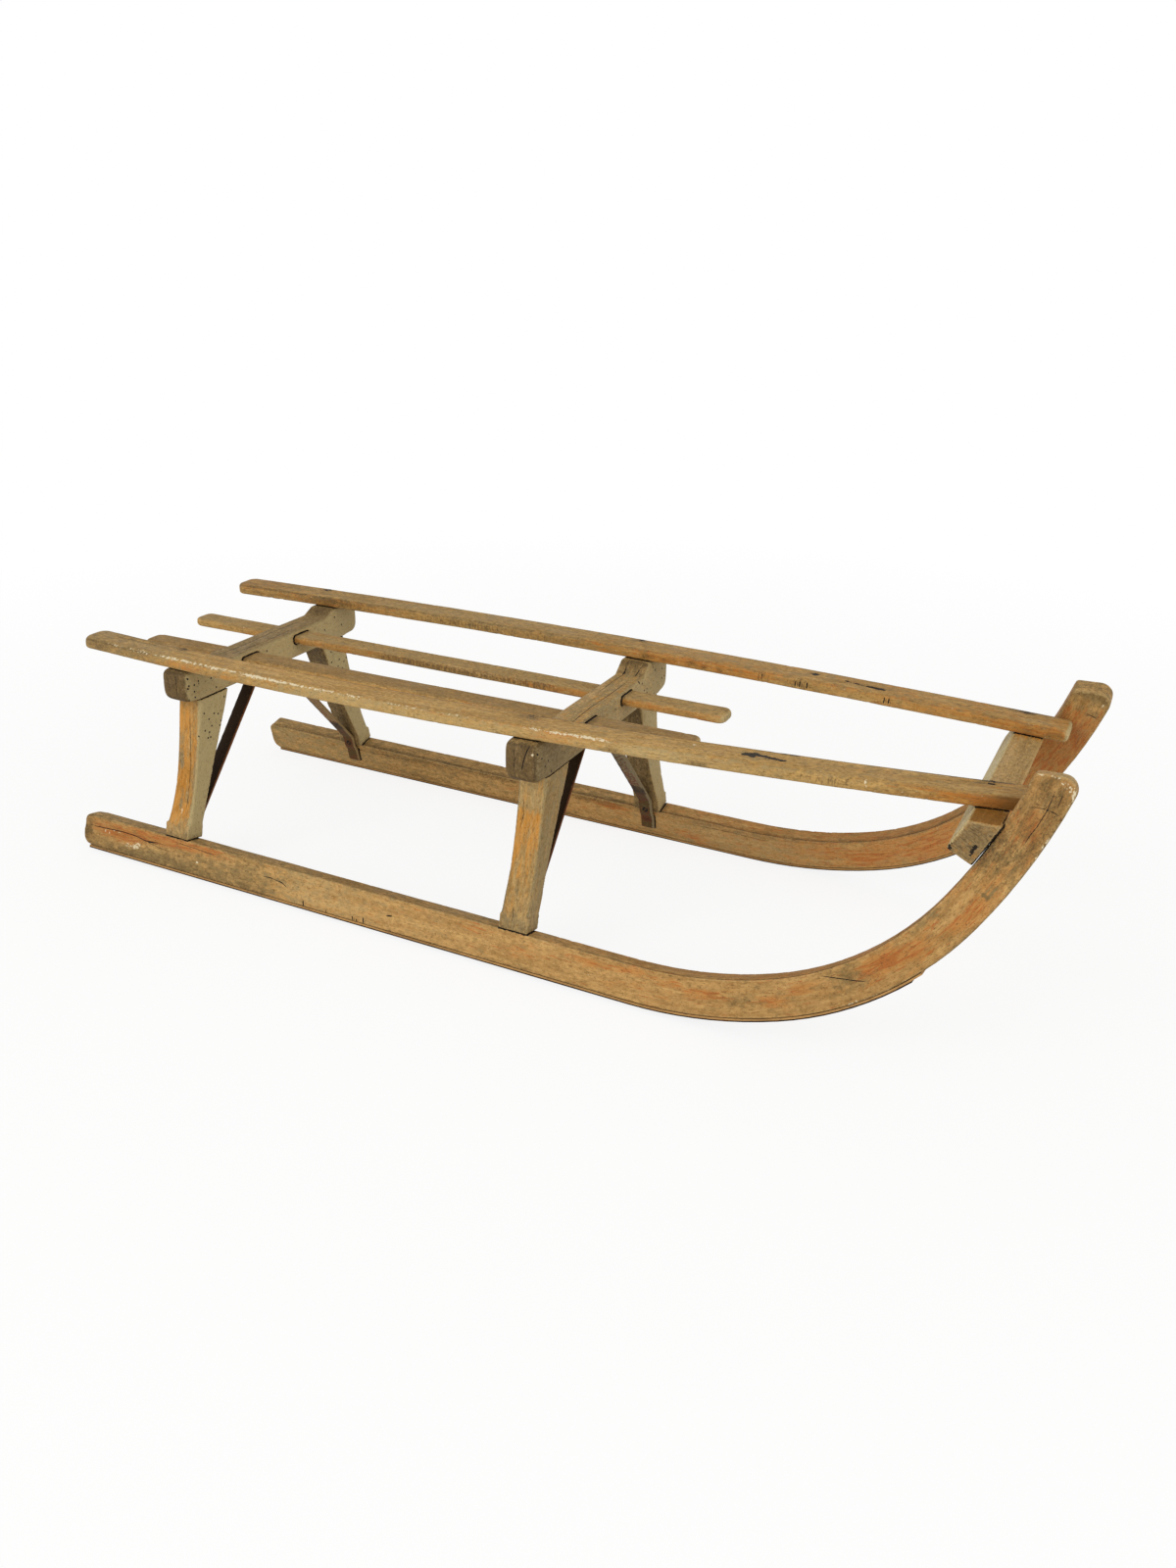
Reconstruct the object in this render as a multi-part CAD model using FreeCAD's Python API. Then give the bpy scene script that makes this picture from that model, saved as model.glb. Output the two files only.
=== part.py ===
import FreeCAD, Part
import math
import os

# An old four-slat wooden sled: two bent runners with steel soles, four splayed legs,
# two morticed crossbars, a front rail, two outer and two inner slats, two steel braces.
# Millimetres. X runs forward to the upswept tips, Y to the sled's left, Z up.
# While it is built, X counts from the runners' tail ends and Z from the outer lower
# edge of a runner; at the end everything is moved so that the origin is the middle of
# the footprint on the floor.

# Stance
track_width = 351.0                # between the outer lower edges of the two soles
lean_angle = 13.0                  # legs and runners lean inward by this, in degrees
rear_station = 132.0               # middle of the rear legs and crossbar
front_station = 540.5              # middle of the front legs and crossbar
underside_height = 182.3           # underside of both crossbars
joint_gap = 0.3                    # between parts that seat on one another
overrun = 150.0                    # how far a cutting solid runs past what it cuts
angle_tolerance = 0.001            # degrees

# Runners
runner_thickness = 20.3
runner_depth = 35.2
runner_flat_length = 665.0         # straight part, from the tail to the first bend
bend_radii = (417.8, 283.8, 496.8)
bend_angles = (19.3, 39.2, 15.0)
tip_straight_lengths = (12.0, 5.0)               # left and right, straight part after the last bend
tip_skew_angle = 19.0              # how far the end cut leans off square, in degrees
tip_outer_radius = 12.0
tip_inner_radius = 3.5
tail_upper_radius = 7.0
tail_lower_radius = 11.0
runner_arris = 1.8                 # rounding of the long edges

# Soles: a wooden wearing strip under each runner, shod with a thin steel band
band_thickness = 1.2
strip_thickness = 1.6
sole_inset = 0.5                   # how far the soles stay inside the runner's faces
sole_tail_inset = 9.0
sole_end_angle = 46.5              # where the soles stop in the bend, in degrees of slope
sole_end_step_angle = 2.2          # how much earlier the band stops than the strip, in degrees

# Legs
leg_breadth = 31.0
leg_hollow_depth = 2.2             # how far the front and rear sides are hollowed half way up
leg_arris = 3.6                    # chamfer of the outer upright edges, stopped at the foot
leg_soft_arris = 1.4               # chamfer of the inner upright edges
foot_height = 15.0                 # upright part just above the runner
foot_overhang_width = 2.7          # how far the foot stands past the runner's inner face
# The outer side of a leg is hollowed: depths for the rear pair (left, right), then the front
waist_insets = ((2.6, 4.6), (2.6, 2.6))          # just above the foot
shoulder_insets = ((8.0, 9.8), (7.6, 8.0))       # further up
head_insets = ((6.5, 7.6), (4.5, 4.5))           # at the crossbar
head_inner_line = 51.0             # the leg's inner side at the crossbar, from the outer face
neck_inner_line = 36.0             # the same, about half way up
shoulder_share = 0.62              # where the upper hollow lies, from the foot to the crossbar
neck_share = 0.45                  # where the inner side's middle point lies, likewise
tenon_length = 14.0
tenon_breadth = 19.0
foot_tenon_width = 10.0
head_tenon_width = 18.0

# Crossbars
crossbar_end_insets = (27.0, 25.0)               # rear and front, ends inside the soles' outer edges
crossbar_offsets = (3.0, -1.8)     # rear and front, how far they stand off to the left
crossbar_breadths = (33.0, 34.0)   # rear and front, along X
crossbar_end_height = 37.2         # at the middle plane, if the ends' top ran through
crossbar_dip_depths = (6.2, 11.1)  # rear and front, how far the middle lies below the seat
crossbar_lower_radius = 10.0
crossbar_upper_radius = 6.0
crossbar_arris = 4.0
ramp_width = 15.0                  # slope up to the raised shoulders
ramp_clearance = 3.0               # from the ramp's top to the outer slat's inner edge

# Seat
seat_rise_height = 4.9             # how much higher the seat is over the front crossbar
seat_roll_angle = 0.75             # the seat stands this much higher to the left, in degrees
outer_slat_width = 33.3
outer_slat_thickness = 12.0
outer_slat_front_overhangs = (36.0, 32.0)        # left and right, past the rail's seat
outer_slat_tail_lengths = (-4.0, 6.0)            # how far they run behind the runners' tails
outer_slat_rear_insets = (54.5, 61.5)            # rear end's middle inside the soles' outer edge
outer_slat_bow_depths = (19.0, 31.0)             # how far they bow outward between their ends
outer_slat_upper_radius = 4.2
outer_slat_lower_radius = 2.4
outer_slat_rear_corner = 11.0
outer_slat_front_corner = 5.0
tip_clearance = 1.0                # between a runner's inner face and the outer slat
inner_slat_width = 28.0
inner_slat_thickness = 9.5
inner_slat_radius = 3.6
inner_slat_corner = 9.0
inner_slat_cover_depths = (5.2, 3.2)             # rear and front, crossbar left above the slats
inner_slat_rear_overhangs = (114.0, 107.0)       # left and right
inner_slat_front_overhang = 110.0
inner_slat_rear_offset = 44.0
inner_slat_front_offset = 41.5
mortice_gap = 0.3

# Front rail
rail_seat_depth = 32.9             # the rail's place on the runner, this far below the seat
rail_depth = 25.0
rail_drop_height = 9.0             # how far it reaches below that place
rail_arris = 2.0
rail_end_inset = 1.0

# Steel braces
strap_thickness = 2.8
strap_width = 16.0
strap_foot_height = 13.8           # lower end above the floor edge of the runner
strap_ease_height = 8.0            # how far below the runner's top it starts to step inward
strap_rise_heights = (13.0, 18.0)  # rear and front, how far it stays upright above the runner
strap_knee_offsets = (0.0, 1.0)    # how far it leans inward over that height
strap_pad_lengths = ((17.0, 21.0), (18.0, 32.0))  # flat part to the left and the right
strap_offset = 0.5                 # how far it sits in front of the leg's middle

half_track = track_width / 2
lean = math.radians(lean_angle)
wheelbase = front_station - rear_station
sole_thickness = band_thickness + strip_thickness
runner_top = sole_thickness + runner_depth
stations = (rear_station, front_station)
seat_height = underside_height + crossbar_end_height
seat_slope = math.atan2(seat_rise_height, wheelbase)
outer_slat_rear_offsets = [half_track - inset for inset in outer_slat_rear_insets]
crossbar_half_lengths = [half_track - inset for inset in crossbar_end_insets]
crossbar_middle_tops = (seat_height - crossbar_dip_depths[0],
                        seat_height + seat_rise_height - crossbar_dip_depths[1])
end_names = ("rear", "front")


def vec(x, y, z):
    return FreeCAD.Vector(x, y, z)


def block(x_low, x_high, y_low, y_high, z_low, z_high):
    box = Part.makeBox(x_high - x_low, y_high - y_low, z_high - z_low)
    box.translate(vec(x_low, y_low, z_low))
    return box


def leaned(shape):
    """A left-hand shape drawn upright, with its outer face on y = 0, put in its place."""
    shape.rotate(vec(0, 0, 0), vec(1, 0, 0), lean_angle)
    shape.translate(vec(0, half_track, 0))
    return shape


def mirrored(shape):
    return shape.mirror(vec(0, 0, 0), vec(0, 1, 0))


def leaned_point(inward, up):
    """Y and Z of a point a distance inward from the left outer face and up along it."""
    y = half_track - inward * math.cos(lean) - up * math.sin(lean)
    z = up * math.cos(lean) - inward * math.sin(lean)
    return y, z


def bend_point(offset, slope):
    """X and Z in the bend where the slope is reached, an offset above the floor line."""
    x, z, angle = runner_flat_length, 0.0, 0.0
    goal = math.radians(slope)
    for radius, turn in zip(bend_radii, bend_angles):
        step = min(angle + math.radians(turn), goal)
        x += radius * (math.sin(step) - math.sin(angle))
        z += radius * (math.cos(angle) - math.cos(step))
        angle = step
    return vec(x - offset * math.sin(angle), 0, z + offset * math.cos(angle))


def slope_below_seat(depth):
    """Slope of the runner, in degrees, where its upper side lies a depth below the seat."""
    low, high = 0.0, sum(bend_angles)
    while high - low > angle_tolerance:
        middle = (low + high) / 2
        point = bend_point(runner_top, middle)
        if point.z * math.cos(lean) < seat_level(point.x, 0) - depth:
            low = middle
        else:
            high = middle
    return low


def bend_arcs(offset, end_slope):
    """The bend at an offset above the floor line, from the flat to the end slope."""
    arcs = []
    start = 0.0
    for turn in bend_angles:
        end = min(start + turn, end_slope)
        if end > start:
            middle = (start + end) / 2
            arcs.append(Part.Arc(bend_point(offset, start), bend_point(offset, middle),
                                 bend_point(offset, end)).toShape())
        start = end
    return arcs


def edges_along_y(solid, points, reach):
    """The edges parallel to Y that pass within reach of one of the X, Z points."""
    found = []
    for edge in solid.Edges:
        ends = [vertex.Point for vertex in edge.Vertexes]
        if len(ends) < 2 or abs(ends[0].x - ends[1].x) + abs(ends[0].z - ends[1].z) > joint_gap:
            continue
        for point in points:
            if math.hypot(ends[0].x - point.x, ends[0].z - point.z) < reach:
                found.append(edge)
                break
    return found


def runner_blank(index):
    """The bent bar, upright, its outer face on y = 0 and its body on the -y side."""
    straight = tip_straight_lengths[index]
    total = sum(bend_angles)
    slope = math.radians(total)
    along = vec(math.cos(slope), 0, math.sin(slope))
    low, high = sole_thickness, runner_top
    skew = runner_depth * math.tan(math.radians(tip_skew_angle))
    low_bend = bend_point(low, total)
    high_bend = bend_point(high, total)
    low_tip = low_bend + along * (straight + skew)
    high_tip = high_bend + along * straight
    edges = [Part.makeLine(vec(0, 0, high), vec(0, 0, low)),
             Part.makeLine(vec(0, 0, low), vec(runner_flat_length, 0, low))]
    edges += bend_arcs(low, total)
    edges.append(Part.makeLine(low_bend, low_tip))
    edges.append(Part.makeLine(low_tip, high_tip))
    edges.append(Part.makeLine(high_tip, high_bend))
    edges += bend_arcs(high, total)[::-1]
    edges.append(Part.makeLine(vec(runner_flat_length, 0, high), vec(0, 0, high)))
    face = Part.Face(Part.Wire(Part.__sortEdges__(edges)))
    solid = face.extrude(vec(0, -runner_thickness, 0))
    for point, radius in ((low_tip, tip_outer_radius), (high_tip, tip_inner_radius),
                          (vec(0, 0, low), tail_lower_radius),
                          (vec(0, 0, high), tail_upper_radius)):
        solid = solid.makeFillet(radius, edges_along_y(solid, [point], joint_gap))
    return solid


def side_face_edges(solid):
    """The edges that lie in either side face of an upright runner."""
    found = []
    for edge in solid.Edges:
        box = edge.BoundBox
        if box.YLength < joint_gap:
            found.append(edge)
    return found


def foot_box(station, clearance):
    """The leg's lower tenon, upright, let into the runner's top."""
    half = tenon_breadth / 2 + clearance
    middle = -runner_thickness / 2
    reach = foot_tenon_width / 2 + clearance
    return block(station - half, station + half, middle - reach, middle + reach,
                 runner_top - tenon_length - clearance, runner_top + foot_height / 2)


def runner(index):
    """A runner drawn on the left: index 0 is the left one, 1 the right one."""
    solid = runner_blank(index)
    solid = solid.makeFillet(runner_arris, side_face_edges(solid))
    for station in stations:
        solid = solid.cut(foot_box(station, joint_gap))
    return leaned(solid)


def sole_layer(low, high, end_slope):
    """One bent layer under the left runner, between two heights above the floor line."""
    start_low, start_high = vec(sole_tail_inset, 0, low), vec(sole_tail_inset, 0, high)
    edges = [Part.makeLine(start_high, start_low),
             Part.makeLine(start_low, vec(runner_flat_length, 0, low))]
    edges += bend_arcs(low, end_slope)
    edges.append(Part.makeLine(bend_point(low, end_slope), bend_point(high, end_slope)))
    edges += bend_arcs(high, end_slope)[::-1]
    edges.append(Part.makeLine(vec(runner_flat_length, 0, high), start_high))
    face = Part.Face(Part.Wire(Part.__sortEdges__(edges)))
    solid = face.extrude(vec(0, -(runner_thickness - 2 * sole_inset), 0))
    solid.translate(vec(0, -sole_inset, 0))
    return leaned(solid)


def sole_band_left():
    return sole_layer(0, band_thickness, sole_end_angle - sole_end_step_angle)


def sole_strip_left():
    return sole_layer(band_thickness, sole_thickness, sole_end_angle)


def leg_outline(index, side):
    """The leg's outer and inner line above its foot: points inward from its outer face and up."""
    knee = runner_top + joint_gap + foot_height
    head = underside_height / math.cos(lean)
    rise = head - knee
    outer = [vec(0, 0, knee),
             vec(waist_insets[index][side], 0, knee + foot_height),
             vec(shoulder_insets[index][side], 0, knee + rise * shoulder_share),
             vec(head_insets[index][side], 0, head + tenon_length)]
    inner = [vec(runner_thickness + foot_overhang_width, 0, knee),
             vec(neck_inner_line, 0, knee + rise * neck_share),
             vec(head_inner_line, 0, head + tenon_length)]
    return outer, inner


def curve_through(points):
    curve = Part.BSplineCurve()
    curve.interpolate(points)
    return curve.toShape()


def leg(index, side):
    """A leg drawn on the left, at the rear or front, with the lines of one side's leg."""
    station = stations[index]
    outer, inner = leg_outline(index, side)
    edges = [curve_through(outer), Part.makeLine(outer[-1], inner[-1]),
             curve_through(inner), Part.makeLine(inner[0], outer[0])]
    # The outline is drawn in X and Z and turned so that inward becomes -Y.
    face = Part.Face(Part.Wire(Part.__sortEdges__(edges)))
    solid = face.extrude(vec(0, leg_breadth, 0))
    solid.rotate(vec(0, 0, 0), vec(0, 0, 1), -90)
    half = leg_breadth / 2
    solid.translate(vec(station - half, 0, 0))
    for outer_side, size in ((True, leg_arris), (False, leg_soft_arris)):
        solid = solid.makeChamfer(size, upright_edges(solid, outer_side))
    knee = outer[0].z
    solid = solid.fuse(block(station - half, station + half, -inner[0].x, 0,
                             runner_top + joint_gap, knee))
    for cutter in leg_hollows(station, knee, underside_height / math.cos(lean)):
        solid = solid.cut(cutter)
    solid = leaned(solid)
    ceiling = underside_height - joint_gap
    above = block(station - leg_breadth, station + leg_breadth, 0, half_track,
                  ceiling, ceiling + overrun)
    solid = solid.cut(above)
    solid = solid.fuse(head_tenon(index, 0))
    solid = solid.fuse(leaned(foot_box(station, 0)))
    return solid.removeSplitter()


def upright_edges(solid, outer_side):
    """The leg's two long edges on its outer or its inner side, before it is leaned."""
    middle = solid.BoundBox.Center.y
    found = []
    for edge in solid.Edges:
        box = edge.BoundBox
        if box.ZLength > foot_height and (box.Center.y > middle) == outer_side:
            found.append(edge)
    return found


def leg_hollows(station, knee, head):
    """Two wide cylinders along Y that hollow the leg's front and rear sides."""
    half_chord = (head - knee) / 2
    radius = (half_chord * half_chord + leg_hollow_depth * leg_hollow_depth) / (2 * leg_hollow_depth)
    reach = radius + leg_breadth / 2 - leg_hollow_depth
    middle = knee + half_chord
    length = half_track
    cutters = []
    for x in (station - reach, station + reach):
        cutters.append(Part.makeCylinder(radius, length, vec(x, -length / 2, middle), vec(0, 1, 0)))
    return cutters


def head_tenon(index, clearance):
    """The leg's upper tenon, let into the crossbar from below."""
    station = stations[index]
    middle_in = (head_insets[index][0] + head_inner_line) / 2
    y, z = leaned_point(middle_in, underside_height / math.cos(lean))
    half = tenon_breadth / 2 + clearance
    reach = head_tenon_width / 2 + clearance
    return block(station - half, station + half, y - reach, y + reach,
                 underside_height - joint_gap - foot_height / 2,
                 underside_height + tenon_length + clearance)


def slat_span(index):
    """Rear and front end of an outer slat along X."""
    rail_seat = bend_point(runner_top, slope_below_seat(rail_seat_depth))
    return -outer_slat_tail_lengths[index], rail_seat.x + outer_slat_front_overhangs[index]


def on_seat(solid):
    """Lift a solid drawn on z = 0 to the sloping plane under the outer slats."""
    solid.translate(vec(-rear_station, 0, 0))
    solid.rotate(vec(0, 0, 0), vec(1, 0, 0), seat_roll_angle)
    solid.rotate(vec(0, 0, 0), vec(0, 1, 0), -math.degrees(seat_slope))
    solid.translate(vec(rear_station, 0, seat_height))
    return solid


def above_seat():
    """A big box over the whole sled, down to just under its outer slats."""
    reach = slat_span(0)[1] + overrun
    return on_seat(block(-overrun, reach, -half_track, half_track, -joint_gap, overrun))


def seat_level(x, y):
    climb = math.tan(seat_slope) * (x - rear_station)
    return seat_height + climb + math.tan(math.radians(seat_roll_angle)) * y


def slat_front_offset(index):
    """Middle of the outer slat's front end, clear of the runner's inner face."""
    front_end = slat_span(index)[1]
    level = seat_level(front_end, outer_slat_rear_offsets[index]) + outer_slat_thickness
    y, _ = leaned_point(runner_thickness, (level + runner_thickness * math.sin(lean)) / math.cos(lean))
    return y - outer_slat_width / 2 - tip_clearance


def slat_middle(index, x):
    """Distance of an outer slat's centre line from the middle plane at a station."""
    rear_end, front_end = slat_span(index)
    share = (x - rear_end) / (front_end - rear_end)
    rear = outer_slat_rear_offsets[index]
    chord = rear + (slat_front_offset(index) - rear) * share
    return chord + outer_slat_bow_depths[index] * 4 * share * (1 - share)


def outer_slat(index):
    """An outer slat in its place: index 0 is the left one, 1 the right one."""
    sign = (1, -1)[index]
    half = outer_slat_width / 2
    x_low, x_high = slat_span(index)
    corners = []
    edges = []
    for side in (half, -half):
        points = [vec(x, sign * (slat_middle(index, x) + side), 0)
                  for x in (x_low, (x_low + x_high) / 2, x_high)]
        corners.append(points)
        edges.append(Part.Arc(*points).toShape())
    edges.append(Part.makeLine(corners[0][0], corners[1][0]))
    edges.append(Part.makeLine(corners[0][2], corners[1][2]))
    face = Part.Face(Part.Wire(Part.__sortEdges__(edges)))
    solid = face.extrude(vec(0, 0, outer_slat_thickness))
    solid = round_lath(solid, outer_slat_rear_corner, outer_slat_front_corner,
                       outer_slat_upper_radius, outer_slat_lower_radius)
    return on_seat(solid)


def round_lath(solid, rear_corner, front_corner, upper, lower):
    """Round a flat lath's four corners and then its upper and lower edges."""
    middle = solid.BoundBox.Center.x
    for radius, ahead in ((rear_corner, False), (front_corner, True)):
        upright = [edge for edge in solid.Edges
                   if edge.BoundBox.XLength + edge.BoundBox.YLength < joint_gap
                   and (edge.BoundBox.XMin > middle) == ahead]
        solid = solid.makeFillet(radius, upright)
    for radius, top in ((upper, True), (lower, False)):
        level = solid.BoundBox.ZMax if top else solid.BoundBox.ZMin
        ring = [edge for edge in solid.Edges
                if edge.BoundBox.ZLength < joint_gap
                and abs(edge.BoundBox.Center.z - level) < joint_gap]
        solid = solid.makeFillet(radius, ring)
    return solid


def inner_slat(index, clearance):
    """An inner slat drawn on the left, or with a clearance what cuts its mortices."""
    x_low = rear_station - crossbar_breadths[0] / 2 - inner_slat_rear_overhangs[index]
    x_high = front_station + crossbar_breadths[1] / 2 + inner_slat_front_overhang
    half = inner_slat_width / 2 + clearance
    solid = block(x_low, x_high, -half, half, -inner_slat_thickness - clearance, clearance)
    solid = round_lath(solid, inner_slat_corner, inner_slat_corner,
                       inner_slat_radius, inner_slat_radius)
    turn = math.atan2(inner_slat_front_offset - inner_slat_rear_offset, wheelbase)
    tops = [top - cover for top, cover in zip(crossbar_middle_tops, inner_slat_cover_depths)]
    tilt = math.atan2(tops[1] - tops[0], wheelbase)
    solid.translate(vec(-rear_station, 0, 0))
    solid.rotate(vec(0, 0, 0), vec(0, 1, 0), -math.degrees(tilt))
    solid.rotate(vec(0, 0, 0), vec(0, 0, 1), math.degrees(turn))
    solid.translate(vec(rear_station, inner_slat_rear_offset, tops[0]))
    return solid


def crossbar_outline(index):
    """Y and Z corners of a crossbar seen from the front, starting at its right lower one."""
    station = stations[index]
    half, shift = crossbar_half_lengths[index], crossbar_offsets[index]
    bottom = underside_height
    middle_top = crossbar_middle_tops[index]
    ramps = []
    for side, sign in ((0, 1), (1, -1)):
        ramp_top = slat_middle(side, station) - outer_slat_width / 2 - ramp_clearance
        ramp_foot = ramp_top - ramp_width
        shelf = seat_level(station, sign * ramp_top) - joint_gap
        raised = shelf + outer_slat_thickness
        corner = ramp_foot + ramp_width * (raised - middle_top) / (shelf - middle_top)
        ramps.append([(sign * half + shift, raised), (sign * corner, raised),
                      (sign * ramp_foot, middle_top)])
    left, right = ramps
    return [(shift - half, bottom), (shift + half, bottom)] + left + right[::-1]


def crossbar(index):
    station = stations[index]
    breadth = crossbar_breadths[index]
    points = [vec(0, y, z) for y, z in crossbar_outline(index)]
    solid = Part.Face(Part.makePolygon(points + points[:1])).extrude(vec(breadth, 0, 0))
    solid.translate(vec(station - breadth / 2, 0, 0))
    solid = solid.cut(above_seat())
    end = crossbar_half_lengths[index]
    middle = vec(station, crossbar_offsets[index], underside_height + crossbar_end_height / 2)
    for upper, radius in ((False, crossbar_lower_radius), (True, crossbar_upper_radius)):
        corners = [edge for edge in solid.Edges
                   if edge.BoundBox.XLength > breadth / 2
                   and abs(abs(edge.BoundBox.Center.y - middle.y) - end) < joint_gap
                   and (edge.BoundBox.Center.z > middle.z) == upper]
        solid = solid.makeFillet(radius, corners)
    faces = [face for face in solid.Faces if face.BoundBox.XLength < joint_gap]
    solid = solid.makeFillet(crossbar_arris, [edge for face in faces for edge in face.Edges])
    tenon = head_tenon(index, joint_gap)
    for cutter in (inner_slat(0, mortice_gap), mirrored(inner_slat(1, mortice_gap)),
                   tenon, mirrored(tenon)):
        solid = solid.cut(cutter)
    return solid


def front_rail(runners):
    """The rail on the hollow side of both runners, notched to seat on them."""
    steepness = slope_below_seat(rail_seat_depth)
    slope = math.radians(steepness)
    along = vec(math.cos(slope), 0, math.sin(slope))
    back = vec(-math.sin(slope), 0, math.cos(slope))
    touch = bend_point(runner_top, steepness)
    touch = vec(touch.x, 0, touch.z * math.cos(lean))
    _, level = leaned_point(0, touch.z)
    start = touch - along * rail_drop_height + vec(joint_gap, 0, 0)
    long_side = (seat_level(start.x, 0) + overrun / 2 - start.z) / math.sin(slope)
    half = half_track - level * math.tan(lean) - rail_end_inset
    points = [start, start + along * long_side, start + along * long_side + back * rail_depth,
              start + back * rail_depth]
    points = [point - vec(0, half, 0) for point in points]
    solid = Part.Face(Part.makePolygon(points + points[:1])).extrude(vec(0, 2 * half, 0))
    solid = solid.cut(above_seat())
    solid = solid.makeFillet(rail_arris, solid.Edges)
    for shape in runners:
        seat = shape.copy()
        seat.translate(vec(-joint_gap, 0, 0))
        solid = solid.cut(seat)
    return solid


def strap_path(index):
    """Corner points from the left runner's inner face, under the crossbar, to the right."""
    inward = runner_thickness + joint_gap
    halves = []
    for pad in strap_pad_lengths[index]:
        foot = leaned_point(inward, strap_foot_height)
        ease = leaned_point(inward, runner_top - strap_ease_height)
        step = leaned_point(inward + foot_overhang_width, runner_top)
        knee = leaned_point(inward + foot_overhang_width + strap_knee_offsets[index],
                            runner_top + strap_rise_heights[index])
        halves.append([foot, ease, step, knee, (pad, underside_height - joint_gap)])
    left, right = halves
    return left + [(-y, z) for y, z in right[::-1]]


def offset_path(points, distance):
    """The path moved sideways by a distance to its right, with mitred corners."""
    moved = []
    count = len(points)
    for index in range(count):
        before = points[max(index - 1, 0)]
        here = points[index]
        after = points[min(index + 1, count - 1)]
        normals = []
        for start, end in ((before, here), (here, after)):
            run = math.hypot(end[0] - start[0], end[1] - start[1])
            if run > 0:
                normals.append(((end[1] - start[1]) / run, -(end[0] - start[0]) / run))
        if len(normals) == 1:
            normals = normals * 2
        sum_y = normals[0][0] + normals[1][0]
        sum_z = normals[0][1] + normals[1][1]
        scale = 2 * distance / (sum_y * sum_y + sum_z * sum_z)
        moved.append((here[0] + sum_y * scale, here[1] + sum_z * scale))
    return moved


def brace(index):
    path = strap_path(index)
    inside = offset_path(path, -strap_thickness)
    outline = [vec(0, y, z) for y, z in path + inside[::-1]]
    solid = Part.Face(Part.makePolygon(outline + outline[:1])).extrude(vec(strap_width, 0, 0))
    solid.translate(vec(stations[index] - strap_width / 2 + strap_offset, 0, 0))
    return solid


def build():
    nodes = {}
    nodes["runner_left"] = runner(0)
    nodes["runner_right"] = mirrored(runner(1))
    for name, shape in (("sole_strip", sole_strip_left()), ("sole_band", sole_band_left())):
        nodes[name + "_left"] = shape
        nodes[name + "_right"] = mirrored(shape)
    for index, end_name in enumerate(end_names):
        nodes["leg_" + end_name + "_left"] = leg(index, 0)
        nodes["leg_" + end_name + "_right"] = mirrored(leg(index, 1))
        nodes["crossbar_" + end_name] = crossbar(index)
        nodes["brace_" + end_name] = brace(index)
    nodes["front_rail"] = front_rail((nodes["runner_left"], nodes["runner_right"]))
    nodes["slat_outer_left"] = outer_slat(0)
    nodes["slat_outer_right"] = outer_slat(1)
    nodes["slat_inner_left"] = inner_slat(0, 0)
    nodes["slat_inner_right"] = mirrored(inner_slat(1, 0))
    return nodes


def main():
    nodes = build()
    whole = Part.makeCompound(list(nodes.values())).optimalBoundingBox(False, False)
    shift = vec(-whole.Center.x, 0, -whole.ZMin)
    os.makedirs("parts", exist_ok=True)
    for name, shape in nodes.items():
        shape.translate(shift)
        shape.exportStep("parts/" + name + ".step")
        print(name, shape.isValid(), len(shape.Solids), round(shape.Volume))
    print("shift", shift)
    print("size", round(whole.XLength, 1), round(whole.YLength, 1), round(whole.ZLength, 1))


main()
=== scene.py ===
"""An old wooden snow sled: bent ash runners, legs, a slatted seat, iron soles and braces."""
import itertools
import logging
import math
from abc import ABC, abstractmethod
from dataclasses import dataclass, field
from enum import Enum
from typing import Any, Sequence

import bmesh
import bpy
import numpy as np
from mathutils import Matrix, Vector
from mathutils.bvhtree import BVHTree


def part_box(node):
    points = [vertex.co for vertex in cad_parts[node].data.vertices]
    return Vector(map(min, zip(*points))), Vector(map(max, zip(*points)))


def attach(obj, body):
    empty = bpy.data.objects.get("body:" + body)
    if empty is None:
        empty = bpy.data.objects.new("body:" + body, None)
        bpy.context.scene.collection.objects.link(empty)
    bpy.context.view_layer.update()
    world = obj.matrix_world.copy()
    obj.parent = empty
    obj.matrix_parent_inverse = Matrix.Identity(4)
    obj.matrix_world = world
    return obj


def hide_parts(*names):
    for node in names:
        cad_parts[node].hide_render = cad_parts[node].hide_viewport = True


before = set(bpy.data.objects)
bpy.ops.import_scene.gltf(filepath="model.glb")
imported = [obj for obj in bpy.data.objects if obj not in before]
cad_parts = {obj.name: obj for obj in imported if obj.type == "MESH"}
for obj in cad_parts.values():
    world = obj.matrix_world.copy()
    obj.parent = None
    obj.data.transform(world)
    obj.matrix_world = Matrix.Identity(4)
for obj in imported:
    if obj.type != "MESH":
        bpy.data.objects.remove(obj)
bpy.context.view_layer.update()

MM = 0.001
Row = tuple[float, float, float]
log = logging.getLogger("sled")

# Driving sizes of the sled, in mm
HALF_TRACK = 175.5
LEAN = math.radians(13.0)
TAIL_X = -498.917            # the runners' straight part starts here
FLOOR_LIFT = 4.454           # the outer lower edge of a sole stands this high
REAR_STATION = 132.0 + TAIL_X
FRONT_STATION = 540.5 + TAIL_X
UNDERSIDE = 182.3 + FLOOR_LIFT
RUNNER_FLAT = 665.0
BEND_RADII = (417.8, 283.8, 496.8)
BEND_ANGLES = (19.3, 39.2, 15.0)
RAIL_SLOPE = math.radians(64.0)
SCREW_STATIONS = (121.0, 534.0, 935.0)       # along an outer slat, from the tail
SCREW_OFFSETS = {-1: -9.5, 1: 9.0}           # outward from the slat's middle line

SIDES = ((-1, "right"), (1, "left"))
ENDS = (("rear", REAR_STATION), ("front", FRONT_STATION))


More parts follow.
